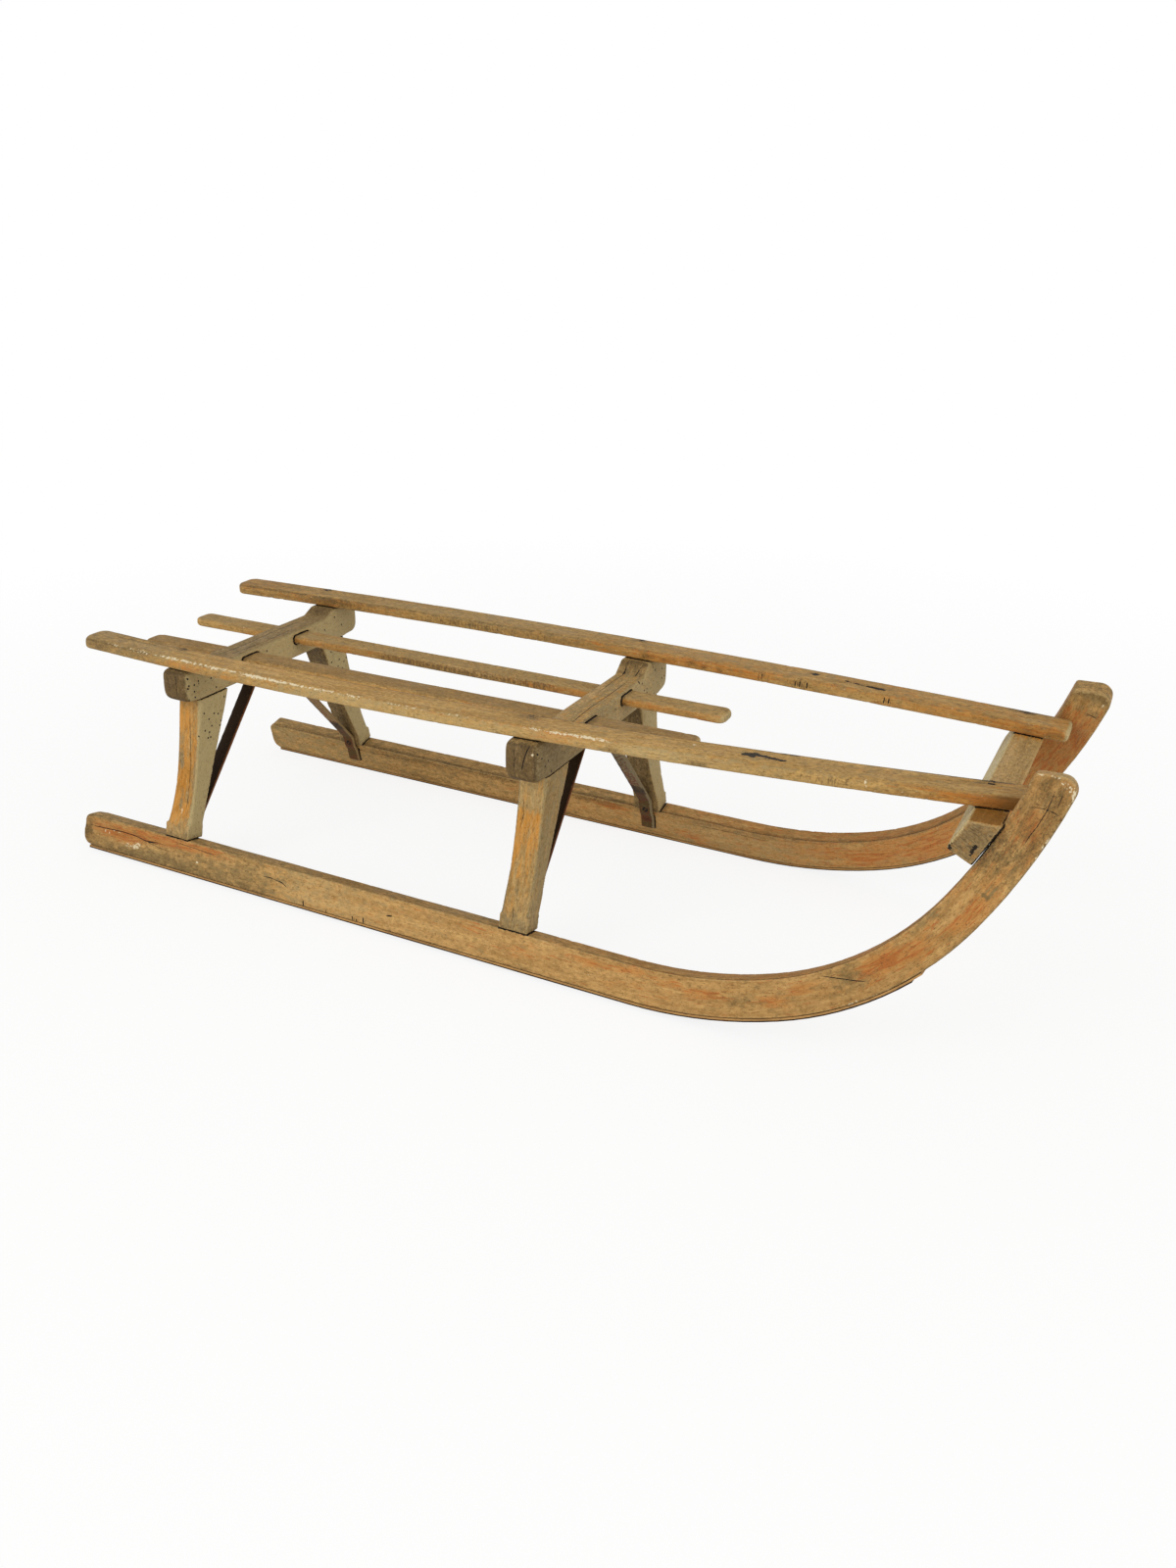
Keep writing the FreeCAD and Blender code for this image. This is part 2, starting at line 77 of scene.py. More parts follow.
class Tint(Enum):
    """What a stain adds to the wood: the attribute that holds its amount, and the part of it."""

    ORANGE = ("tint", 0)     # old varnish that is still there
    # GREY also lays a painted highlight along the straps' front edges
    GREY = ("tint", 1)       # bare wood, greyed by weather
    # DIRT also darkens some places as painted shade: the near strap, and lines along the outer
    # slats' arrises
    DIRT = ("tint", 2)
    WHITE = ("wear", 0)      # worn white paint and bruised fibres
    # BLACK also draws painted shade in the gaps where parts touch
    BLACK = ("wear", 1)      # burns and iron stain
    EDGE = ("wear", 2)       # rubbed arrises
    SAWN = ("crack", 2)      # saw and chatter marks, and open end grain
    WORM = ("rot", 0)        # share of places eaten by woodworm
    # PALE also lays painted light on the front faces of the rear legs and the rear crossbar
    PALE = ("rot", 1)        # bare wood, dried to a pale grey tan
    BROWN = ("rot", 2)       # a thin even film of handling grime


class Face(Enum):
    """A side of a piece, as a direction in its grain frame: along, across, through."""

    ALL = (0.0, 0.0, 0.0)
    HEAD = (1.0, 0.0, 0.0)
    TAIL = (-1.0, 0.0, 0.0)
    PLUS = (0.0, 1.0, 0.0)
    MINUS = (0.0, -1.0, 0.0)
    UPPER = (0.0, 0.0, 1.0)
    LOWER = (0.0, 0.0, -1.0)


# Their short names, for the tables of marks
ORANGE, GREY, DIRT, WHITE, BLACK, EDGE, SAWN, WORM, PALE, BROWN = Tint
ALL, HEAD, TAIL, PLUS, MINUS, UPPER, LOWER = Face


def linear(colour: str) -> tuple[float, float, float, float]:
    """Turn an sRGB hex value into linear light.

    Args:
        colour: six hex digits.

    Returns:
        Red, green and blue, and an alpha of one.
    """
    parts = [int(colour[at:at + 2], 16) / 255 for at in (0, 2, 4)]
    light = [part / 12.92 if part <= 0.04045 else ((part + 0.055) / 1.055) ** 2.4
             for part in parts]
    return light[0], light[1], light[2], 1.0


def add_node(tree: bpy.types.NodeTree, kind: str,
             sockets: dict[str | int, Any] | None = None,
             **settings: Any) -> bpy.types.Node:
    """Add a shader node with its settings, socket values and links.

    Args:
        tree: the material's node tree.
        kind: the node's type without its prefix.
        sockets: for each input, a value or the output that feeds it.
        settings: attributes of the node.

    Returns:
        The new node.
    """
    node = tree.nodes.new("ShaderNode" + kind)
    for name, value in settings.items():
        setattr(node, name, value)
    for name, value in (sockets or {}).items():
        if isinstance(value, bpy.types.NodeSocket):
            tree.links.new(value, node.inputs[name])
        else:
            node.inputs[name].default_value = value
    return node


def lattice_noise(points: np.ndarray, size: Sequence[float], seed: int) -> np.ndarray:
    """Smooth random values from -1 to 1.

    Args:
        points: places in mm, one row each.
        size: how wide the pattern's features are in each direction, in mm.
        seed: names the pattern.

    Returns:
        One value for each place.
    """
    table = np.random.default_rng(seed).uniform(-1.0, 1.0, 4096)
    scaled = points / np.asarray(size)
    cell = np.floor(scaled).astype(np.int64)
    share = scaled - cell
    share = share * share * (3 - 2 * share)
    total = np.zeros(len(points))
    for corner in itertools.product((0, 1), repeat=3):
        near = cell + np.array(corner)
        key = (near[:, 0] * 73856093) ^ (near[:, 1] * 19349663) ^ (near[:, 2] * 83492791)
        weight = np.prod(np.where(np.array(corner) == 1, share, 1 - share), axis=1)
        total += table[key & 4095] * weight
    return total


def leaned_point(x: float, inward: float, up: float, side: int) -> Vector:
    """A point given in the leaning plane of a runner and its legs.

    Args:
        x: place along the sled, in mm.
        inward: distance from the outer face, in mm.
        up: distance up along the outer face, in mm.
        side: 1 for the left side, -1 for the right.

    Returns:
        The point in the row frame, in mm.
    """
    y = HALF_TRACK - inward * math.cos(LEAN) - up * math.sin(LEAN)
    return Vector((x, side * y, up * math.cos(LEAN) - inward * math.sin(LEAN) + FLOOR_LIFT))


# How the grain runs in each piece

class Grain(ABC):
    """Places and directions measured along the grain, across it and through the piece."""

    @abstractmethod
    def places(self, points: np.ndarray) -> np.ndarray:
        """Grain places in mm of points in mm, one row each."""

    @abstractmethod
    def directions(self, points: np.ndarray, normals: np.ndarray) -> np.ndarray:
        """The normals at these points, turned into the grain frame."""


@dataclass(frozen=True)
class StraightGrain(Grain):
    """Grain along one straight line."""

    origin: Row
    along: Row
    across: Row
    through: Row

    def axes(self) -> np.ndarray:
        """The three unit directions, one row each."""
        rows = np.array([self.along, self.across, self.through], dtype=float)
        return rows / np.linalg.norm(rows, axis=1)[:, None]

    def places(self, points: np.ndarray) -> np.ndarray:
        """Grain places in mm of points in mm, one row each."""
        return (points - np.array(self.origin)) @ self.axes().T

    def directions(self, points: np.ndarray, normals: np.ndarray) -> np.ndarray:
        """The normals turned into the grain frame."""
        return normals @ self.axes().T


@dataclass(frozen=True)
class BowedGrain(Grain):
    """Grain of a seat slat that bows outward: it follows the slat's own middle line."""

    side: int
    seat_height: float
    climb: float
    roll: float

    def places(self, points: np.ndarray) -> np.ndarray:
        """Places from the sled's tail, outward from the slat's middle line, up from the seat.

        Args:
            points: places in the row frame in mm, one row each.

        Returns:
            The grain places in mm.
        """
        outward = self.side * points[:, 1]
        line = np.polyfit(points[:, 0], outward, 2)
        level = (self.seat_height + self.climb * (points[:, 0] - REAR_STATION)
                 + self.roll * points[:, 1])
        return np.stack([points[:, 0] - TAIL_X, outward - np.polyval(line, points[:, 0]),
                         points[:, 2] - level], axis=1)

    def directions(self, points: np.ndarray, normals: np.ndarray) -> np.ndarray:
        """The normals with the Y one pointing outward."""
        return normals * np.array([1.0, self.side, 1.0])


@dataclass(frozen=True)
class BentGrain(Grain):
    """Grain of a steam-bent runner: along its floor line, inward from its outer face, up."""

    side: int

    def upright(self, rows: np.ndarray) -> np.ndarray:
        """Directions with the lean taken out: forward, inward and up the runner's face.

        Args:
            rows: directions in the row frame, one row each.

        Returns:
            The same directions in the runner's own upright frame.
        """
        outward = self.side * rows[:, 1]
        return np.stack([rows[:, 0], -outward * math.cos(LEAN) - rows[:, 2] * math.sin(LEAN),
                         rows[:, 2] * math.cos(LEAN) - outward * math.sin(LEAN)], axis=1)

    def follow(self, points: np.ndarray) -> tuple[np.ndarray, np.ndarray]:
        """Walk the points' places along the straight part and the three bends.

        Args:
            points: places in the row frame in mm, one row each.

        Returns:
            The grain places in mm and the slope at each of them.
        """
        flat = self.upright(points - np.array([TAIL_X, self.side * HALF_TRACK, FLOOR_LIFT]))
        places = flat.copy()
        slopes = np.zeros(len(points))
        walked, angle = RUNNER_FLAT, 0.0
        knee = np.array([RUNNER_FLAT, 0.0])
        for number, (radius, turn) in enumerate(zip(BEND_RADII, BEND_ANGLES)):
            centre = knee + radius * np.array([-math.sin(angle), math.cos(angle)])
            arm = flat[:, [0, 2]] - centre
            slope = np.arctan2(arm[:, 0], -arm[:, 1])
            last = number == len(BEND_RADII) - 1
            end = angle + math.radians(turn)
            inside = (slope > angle) & (flat[:, 0] > RUNNER_FLAT) & (last | (slope < math.pi / 2))
            places[inside, 0] = walked + radius * (slope[inside] - angle)
            places[inside, 2] = radius - np.hypot(arm[inside, 0], arm[inside, 1])
            slopes[inside] = slope[inside]
            walked += radius * (end - angle)
            knee = centre + radius * np.array([math.sin(end), -math.cos(end)])
            angle = end
        return places, slopes

    def places(self, points: np.ndarray) -> np.ndarray:
        """Grain places in mm of points in mm, one row each."""
        return self.follow(points)[0]

    def directions(self, points: np.ndarray, normals: np.ndarray) -> np.ndarray:
        """The normals turned into the grain frame.

        Args:
            points: places in the row frame in mm, one row each.
            normals: the normals there.

        Returns:
            The normals in the grain frame.
        """
        slopes = self.follow(points)[1]
        flat = self.upright(normals)
        cos, sin = np.cos(slopes), np.sin(slopes)
        return np.stack([flat[:, 0] * cos + flat[:, 2] * sin, flat[:, 1],
                         flat[:, 2] * cos - flat[:, 0] * sin], axis=1)


# Stains and cracks, placed in a piece's grain frame

FACE_GAIN, FACE_START = 2.2, 0.6     # a face's marks fade out where the surface turns away
SPOT_CORE = 0.25                     # a spot has its full level up to this share of its reach
SPOT_DEPTH = 4.0                     # half size of a surface spot across its face, in mm


def on_face(facing: np.ndarray, face: Face) -> np.ndarray:
    """How far each vertex looks the way a face does, from 0 to 1.

    Args:
        facing: normals in the grain frame, one row each.
        face: the face to compare them with.

    Returns:
        One value for each normal.
    """
    if face is ALL:
        return np.ones(len(facing))
    return np.clip(facing @ np.array(face.value) * FACE_GAIN - FACE_START, 0.0, 1.0)


class Mark(ABC):
    """Something that tints a piece."""

    tint: Tint

    @abstractmethod
    def amount(self, places: np.ndarray, facing: np.ndarray) -> np.ndarray:
        """How much of the tint each vertex gets, by its grain place and its normal."""


@dataclass(frozen=True)
class Wash(Mark):
    """A tint laid evenly over one face."""

    tint: Tint
    level: float
    face: Face = ALL

    def amount(self, places: np.ndarray, facing: np.ndarray) -> np.ndarray:
        """How much of the tint each vertex gets."""
        return self.level * on_face(facing, self.face)


@dataclass(frozen=True)
class Course(Mark):
    """A tint whose amount changes along a piece, on one of its faces."""

    tint: Tint
    stations: tuple[float, ...]
    levels: tuple[float, ...]
    face: Face = ALL

    def amount(self, places: np.ndarray, facing: np.ndarray) -> np.ndarray:
        """How much of the tint each vertex gets."""
        return np.interp(places[:, 0], self.stations, self.levels) * on_face(facing, self.face)


@dataclass(frozen=True)
class Stain(Mark):
    """A soft spot of a tint round one place."""

    tint: Tint
    level: float
    centre: Row
    reach: Row
    face: Face = ALL

    def amount(self, places: np.ndarray, facing: np.ndarray) -> np.ndarray:
        """How much of the tint each vertex gets.

        Args:
            places: grain places of the vertices, in mm.
            facing: their normals in the grain frame.

        Returns:
            One value for each vertex.
        """
        away = (places - np.array(self.centre)) / np.array(self.reach)
        closeness = np.clip(1 + SPOT_CORE - np.linalg.norm(away, axis=1), 0.0, 1.0)
        return self.level * closeness * on_face(facing, self.face)


def spots(tint: Tint, face: Face, height: float, rows: Sequence[tuple[float, ...]],
          depth: float = SPOT_DEPTH) -> tuple[Stain, ...]:
    """Stains that lie on a side, top or bottom face of a piece.

    Args:
        tint: what they add.
        face: the face they lie on.
        height: where that face lies on its own axis, in mm.
        rows: for each stain its place along and over the face, its half sizes that way, its level.
        depth: their half size across the face, in mm.

    Returns:
        The stains.
    """
    made = []
    for along, over, half_length, half_width, level in rows:
        if face.value[2]:
            centre, reach = (along, over, height), (half_length, half_width, depth)
        else:
            centre, reach = (along, height, over), (half_length, depth, half_width)
        made.append(Stain(tint, level, centre, reach, face))
    return tuple(made)


def seam(tint: Tint, level: float, across: float, through: float, width: float) -> Stain:
    """A line of a tint that runs the whole length of a piece."""
    return Stain(tint, level, (500.0, across, through), (5000.0, width, width))


@dataclass(frozen=True)
class Rounding:
    """A region whose corners are worn rounder than the rest, by so many rounds of smoothing."""

    centre: Row
    reach: Row
    rounds: int
    fade: float = 3.0

    def share(self, places: np.ndarray) -> np.ndarray:
        """How strongly each vertex is smoothed: less and less over the reach's outer third."""
        away = np.abs(places - np.array(self.centre)) / np.array(self.reach)
        return np.clip(self.fade - self.fade * away.max(axis=1), 0.0, 1.0)


@dataclass(frozen=True)
class Crack:
    """A split in one face, or a painted shade line along an arris, through points on that face, in
    mm.
    """

    face: Face
    half_width: float
    points: tuple[tuple[float, float], ...]
    depth: float = 0.7


def cracks(face: Face, *lines: tuple[Any, ...]) -> tuple[Crack, ...]:
    """Splits in one face, each given by its half width and then its points."""
    return tuple(Crack(face, width, tuple(points)) for width, *points in lines)


# Finishes

class Finish(ABC):
    """The look of a material, drawn once and shared by the pieces that have it."""

    name: str

    @abstractmethod
    def shade(self, tree: bpy.types.NodeTree) -> None:
        """Draw the finish in an empty node tree."""

    def material(self) -> bpy.types.Material:
        """The finish's material, drawn at its first use.

        Returns:
            The material, with its node tree drawn.
        """
        if self.name not in bpy.data.materials:
            material = bpy.data.materials.new(self.name)
            material.use_nodes = True
            material.node_tree.nodes.clear()
            self.shade(material.node_tree)
        return bpy.data.materials[self.name]


@dataclass(frozen=True)
class Pattern:
    """A noise: the length, width and height of its features in mm, and its make-up."""

    length: float
    width: float
    height: float
    detail: float = 3.0
    roughness: float = 0.55
    distortion: float = 0.0

    def draw(self, tree: bpy.types.NodeTree, place: bpy.types.NodeSocket, unit: float = 1.0,
             shift: float = 0.0) -> bpy.types.NodeSocket:
        """Draw the noise.

        Args:
            tree: the material's node tree.
            place: the output that gives the place.
            unit: one millimetre in that place's unit.
            shift: moves the pattern, so that two of them don't run alike.

        Returns:
            The output that gives the noise.
        """
        scale = tuple(1 / (size * unit) for size in (self.length, self.width, self.height))
        mapped = add_node(tree, "Mapping", {"Vector": place, "Scale": scale,
                                            "Location": (shift,) * 3})
        return add_node(tree, "TexNoise", {
            "Vector": mapped.outputs[0], "Scale": 1.0, "Detail": self.detail,
            "Roughness": self.roughness, "Distortion": self.distortion}).outputs[0]


@dataclass(frozen=True)
class Layer:
    """A colour laid over the ones before it, where a tint or a pattern passes a threshold."""

    colour: str
    pattern: str
    start: float
    end: float
    opacity: float = 1.0
    tint: Tint | None = None
    ragged: float = 1.0


@dataclass(frozen=True)
class OldVarnishedWood(Finish):
    """Bent or sawn ash with what is left of a clear oil varnish.

    The wood is tan and close grained, mottled by handling, with short dark ray and pore flecks.
    The varnish has yellowed to ragged orange patches. Where it is gone the wood is an olive grey,
    dull and full of dark grit, and worn arrises are a little paler.
    """

    name: str
    pale: str = "c09a5c"
    middle: str = "b38d51"
    dark: str = "a47d44"
    varnish: str = "c98a3a"
    old_varnish: str = "b46d2b"
    weathered: str = "8e784c"
    roughness_low: float = 0.58
    roughness_high: float = 0.80
    specular: float = 0.20
    hole_dark: str = "120c05"
    hole_spacing: float = 6.5
    hole_share: float = 0.19
    # the colour of the cracks and of the painted shade lines along arrises
    crack_and_shade_dark: str = "120d07"
    pattern_shift: float = 7.3
    crack_raggedness: float = 0.9
    crack_start: float = 0.35
    crack_end: float = 0.70
    hole_soft_rim: float = 0.8
    bump_height: float = 0.3
    bump_strength: float = 0.45
    bump_weights: tuple[tuple[str, float], ...] = (("rings", 0.35), ("fleck", 0.8),
                                                   ("ray", -0.5), ("grit", -0.35))
    crack_weight: float = -1.5
    patterns: dict[str, Pattern] = field(default_factory=lambda: {
        "figure": Pattern(120.0, 7.0, 7.0, 4.0, 0.6, 0.5),
        "mottle": Pattern(10.0, 5.5, 5.5, 5.0, 0.70),
        "patch": Pattern(30.0, 5.5, 5.5, 6.0, 0.70, 0.4),
        "blotch": Pattern(38.0, 17.0, 17.0, 5.0, 0.62, 0.3),
        "streak": Pattern(17.0, 2.1, 2.1, 3.0, 0.6, 0.3),
        "speck": Pattern(4.0, 2.5, 2.5, 2.0, 0.6),
        "ray": Pattern(5.0, 1.1, 1.1, 1.0, 0.5),
        "grit": Pattern(1.6, 1.4, 1.4, 2.0, 0.5),
        "pepper": Pattern(2.4, 1.9, 1.9, 3.0, 0.65),
        "rings": Pattern(150.0, 1.6, 1.6, 2.0, 0.5, 0.3),
        "fleck": Pattern(2.6, 2.0, 2.0, 4.0, 0.6),
        "saw": Pattern(1.8, 1.8, 9.0, 3.0, 0.6, 0.3),
        "scratch": Pattern(24.0, 0.6, 0.6, 2.0, 0.5, 1.2),
    })

    def layers(self) -> tuple[Layer, ...]:
        """The colours over the bare figure, from the wood outward.

        Returns:
            The layers in the order in which they are laid.
        """
        return (
            Layer("8c6a38", "rings", 0.54, 0.7, 0.22),
            Layer("83632f", "speck", 0.51, 0.7, 0.5),
            Layer("d1a969", "speck", 0.48, 0.32, 0.42),
            Layer("8c6d3c", "mottle", 0.5, 0.68, 0.45),
            Layer(self.varnish, "patch", 0.36, 0.72, 0.72, ORANGE, 1.0),
            Layer(self.old_varnish, "streak", 0.72, 1.1, 0.75, ORANGE, 2.0),
            Layer(self.weathered, "mottle", 0.26, 0.8, 0.85, GREY, 0.9),
            Layer("66502c", "speck", 0.62, 1.3, 0.55, GREY, 1.6),
            Layer("bba878", "mottle", 0.1, 0.9, 0.95, PALE, 0.6),
            Layer("785c34", "blotch", 0.57, 0.72, 0.25),
            Layer("58431f", "ray", 0.6, 0.7, 0.42),
            Layer("6a4616", "mottle", 0.0, 1.0, 0.95, BROWN, 0.35),
            Layer("5a4522", "mottle", 0.22, 1.0, 0.8, DIRT, 0.6),
            Layer("42311a", "pepper", 0.62, 1.05, 0.62, DIRT, 1.6),
            Layer("4a3922", "saw", 0.48, 0.95, 0.62, SAWN, 1.4),
            Layer("3a2b17", "grit", 0.62, 0.72, 0.55),
            Layer("d0b27c", "scratch", 0.69, 0.76, 0.3),
            Layer("caa870", "fleck", 0.66, 1.05, 0.35, EDGE, 0.9),
            Layer("dccdaa", "fleck", 0.42, 0.62, 0.92, WHITE, 1.2),
            # this layer draws burns, iron stain and the painted shade in the joints
            Layer("150f08", "fleck", 0.46, 0.58, 0.97, BLACK, 0.9),
        )

    def shade(self, tree: bpy.types.NodeTree) -> None:
        """Draw the wood from the piece's grain, tint, wear, crack and rot attributes.

        Args:
            tree: the material's node tree.
        """
        stored = {name: add_node(tree, "Attribute", attribute_name=name).outputs["Vector"]
                  for name in ("grain", "tint", "wear", "crack", "rot")}
        amounts = {name: add_node(tree, "SeparateXYZ", {0: stored[name]}).outputs
                   for name in ("tint", "wear", "crack", "rot")}
        noises = {name: pattern.draw(tree, stored["grain"], shift=self.pattern_shift * number)
                  for number, (name, pattern) in enumerate(self.patterns.items())}
        figure = add_node(tree, "ValToRGB", {0: noises["figure"]})
        ramp = figure.color_ramp
        for at, tone in ((0.34, self.dark), (0.50, self.middle), (0.66, self.pale)):
            ramp.elements.new(at).color = linear(tone)
        ramp.elements.remove(ramp.elements[0])
        ramp.elements.remove(ramp.elements[-1])
        colour = figure.outputs[0]
        for layer in self.layers():
            level = noises[layer.pattern]
            if layer.tint is not None:
                attribute, part = layer.tint.value
                swing = add_node(tree, "Math", {0: level, 1: -0.5}, operation="ADD").outputs[0]
                level = add_node(tree, "Math", {
                    0: swing, 1: layer.ragged * 2, 2: amounts[attribute][part]},
                    operation="MULTIPLY_ADD").outputs[0]
            share = add_node(tree, "MapRange", {
                "Value": level, "From Min": layer.start, "From Max": layer.end,
                "To Min": 0.0, "To Max": layer.opacity}).outputs[0]
            colour = add_node(tree, "Mix", {0: share, 6: colour, 7: linear(layer.colour)},
                              data_type="RGBA").outputs[2]
        holes = self.holes(tree, stored["grain"], amounts["rot"][0])
        colour = add_node(tree, "Mix", {0: holes, 6: colour, 7: linear(self.hole_dark)},
                          data_type="RGBA").outputs[2]
        split = self.crack_share(tree, amounts["crack"], noises["fleck"])
        colour = add_node(tree, "Mix", {0: split, 6: colour, 7: linear(self.crack_and_shade_dark)},
                          data_type="RGBA").outputs[2]
        height: Any = 0.0
        for source, weight in (*((noises[name], weight) for name, weight in self.bump_weights),
                               (split, self.crack_weight)):
            height = add_node(tree, "Math", {0: source, 1: weight, 2: height},
                              operation="MULTIPLY_ADD").outputs[0]
        bump = add_node(tree, "Bump", {"Height": height, "Strength": self.bump_strength,
                                       "Distance": self.bump_height * MM})
        rough = add_node(tree, "MapRange", {
            "Value": noises["blotch"], "From Min": 0.35, "From Max": 0.65,
            "To Min": self.roughness_low, "To Max": self.roughness_high})
        shader = add_node(tree, "BsdfPrincipled", {
            "Base Color": colour, "Roughness": rough.outputs[0], "Normal": bump.outputs[0],
            "Specular IOR Level": self.specular, "IOR": 1.5})
        add_node(tree, "OutputMaterial", {0: shader.outputs[0]})

    def holes(self, tree: bpy.types.NodeTree, grain: bpy.types.NodeSocket,
              rot: bpy.types.NodeSocket) -> bpy.types.NodeSocket:
        """Draw woodworm holes, round and black, where the wood has them.

        Args:
            tree: the material's node tree.
            grain: the place in the grain frame.
            rot: how much of the wood is eaten.

        Returns:
            An output that is one inside a hole.
        """
        along, across, through = add_node(tree, "SeparateXYZ", {0: grain}).outputs
        beside = add_node(tree, "Math", {0: across, 1: through}, operation="ADD").outputs[0]
        flat = add_node(tree, "CombineXYZ", {0: along, 1: beside}).outputs[0]
        cells = add_node(tree, "TexVoronoi", {"Vector": flat, "Scale": 1 / self.hole_spacing},
                         voronoi_dimensions="2D").outputs
        chosen = add_node(tree, "SeparateXYZ", {0: cells["Color"]}).outputs[0]
        eaten = add_node(tree, "Math", {0: rot, 1: chosen}, operation="GREATER_THAN").outputs[0]
        share = add_node(tree, "MapRange", {
            "Value": cells["Distance"], "From Min": self.hole_share,
            "From Max": self.hole_share * self.hole_soft_rim,
            "To Min": 0.0, "To Max": 1.0}).outputs[0]
        return add_node(tree, "Math", {0: share, 1: eaten}, operation="MULTIPLY").outputs[0]

    def crack_share(self, tree: bpy.types.NodeTree, crack: Sequence[bpy.types.NodeSocket],
                    fleck: bpy.types.NodeSocket) -> bpy.types.NodeSocket:
        """Draw the cracks, and the painted shade lines along arrises, as thin ragged lines.

        Args:
            tree: the material's node tree.
            crack: the outputs that give the distance to a crack and its half width, in mm.
            fleck: the noise that makes the line ragged.

        Returns:
            An output that is one inside a crack.
        """
        distance = add_node(tree, "Math", {0: crack[0]}, operation="ABSOLUTE").outputs[0]
        inside = add_node(tree, "Math", {0: crack[1], 1: distance},
                          operation="SUBTRACT").outputs[0]
        inside = add_node(tree, "Math", {0: fleck, 1: self.crack_raggedness, 2: inside},
                          operation="MULTIPLY_ADD").outputs[0]
        split = add_node(tree, "MapRange", {
            "Value": inside, "From Min": self.crack_start,
            "From Max": self.crack_end}).outputs[0]
        present = add_node(tree, "Math", {0: crack[1], 1: 0.02},
                           operation="GREATER_THAN").outputs[0]
        return add_node(tree, "Math", {0: split, 1: present}, operation="MULTIPLY").outputs[0]


@dataclass(frozen=True)
class RustedIron(Finish):
    """Hot-rolled strip iron, long unpainted and handled.

    Mill scale keeps it nearly black, with brown and orange rust blooms, and a grey dusty sheen
    where the rust is rubbed thin. On the straps the grey also paints a highlight along the
    lit front edges, and the dark grime also paints the shade of the near strap.
    """

    name: str
    scale: str = "55401f"
    rust: str = "8a4f22"
    bloom_and_highlight: str = "9a8157"
    grime_and_shade: str = "291b0a"
    pit: str = "1a120c"
    metallic: float = 0.0
    specular: float = 0.15
    bump_height: float = 0.25

    def shade(self, tree: bpy.types.NodeTree) -> None:
        """Draw the iron, and the tint attribute where the piece has one.

        Args:
            tree: the material's node tree.
        """
        place = add_node(tree, "NewGeometry").outputs["Position"]
        stored = add_node(tree, "Attribute", attribute_name="tint").outputs["Vector"]
        tint = add_node(tree, "SeparateXYZ", {0: stored}).outputs
        noises = {name: Pattern(size, size, size, detail, 0.62).draw(tree, place, MM)
                  for name, size, detail in (("cloud", 9.0, 6.0), ("spot", 3.0, 5.0),
                                             ("grit", 0.9, 2.0))}
        colour: Any = linear(self.scale)
        for tone, name, amount, start, end, share in (
                (self.rust, "cloud", tint[0], 0.52, 0.66, 0.85),
                (self.bloom_and_highlight, "spot", tint[1], 0.60, 0.76, 0.80),
                (self.grime_and_shade, "cloud", tint[2], 0.60, 0.90, 0.95),
                (self.pit, "grit", 0.0, 0.58, 0.70, 0.55)):
            level = add_node(tree, "Math", {0: amount, 1: 0.5, 2: noises[name]},
                             operation="MULTIPLY_ADD").outputs[0]
            factor = add_node(tree, "MapRange", {
                "Value": level, "From Min": start, "From Max": end,
                "To Min": 0.0, "To Max": share}).outputs[0]
            colour = add_node(tree, "Mix", {0: factor, 6: colour, 7: linear(tone)},
                              data_type="RGBA").outputs[2]
        height = add_node(tree, "Math", {0: noises["spot"], 1: noises["grit"]},
                          operation="ADD").outputs[0]
        bump = add_node(tree, "Bump", {"Height": height, "Strength": 0.5,
                                       "Distance": self.bump_height * MM})
        rough = add_node(tree, "MapRange", {"Value": noises["spot"], "To Min": 0.5,
                                            "To Max": 0.85})
        shader = add_node(tree, "BsdfPrincipled", {
            "Base Color": colour, "Roughness": rough.outputs[0], "Normal": bump.outputs[0],
            "Metallic": self.metallic, "Specular IOR Level": self.specular})
        add_node(tree, "OutputMaterial", {0: shader.outputs[0]})


@dataclass(frozen=True)
class RustStainedWood(Finish):
    """Bare ash between a runner and its iron band, with brown streaks and spots of rust."""

    name: str
    wood: str = "b1854a"
    streak: str = "86602f"
    spot: str = "644824"

    def shade(self, tree: bpy.types.NodeTree) -> None:
        """Draw the wood in the sled's own frame.

        Args:
            tree: the material's node tree.
        """
        place = add_node(tree, "NewGeometry").outputs["Position"]
        colour: Any = linear(self.wood)
        for pattern, tone, start, end, share in (
                (Pattern(60.0, 4.0, 4.0, 4.0, 0.5), self.streak, 0.45, 0.65, 0.7),
                (Pattern(7.0, 2.0, 2.0, 4.0, 0.5), self.spot, 0.52, 0.72, 0.6)):
            factor = add_node(tree, "MapRange", {
                "Value": pattern.draw(tree, place, MM), "From Min": start, "From Max": end,
                "To Min": 0.0, "To Max": share})
            colour = add_node(tree, "Mix", {0: factor.outputs[0], 6: colour, 7: linear(tone)},
                              data_type="RGBA").outputs[2]
        shader = add_node(tree, "BsdfPrincipled", {"Base Color": colour, "Roughness": 0.7})
        add_node(tree, "OutputMaterial", {0: shader.outputs[0]})


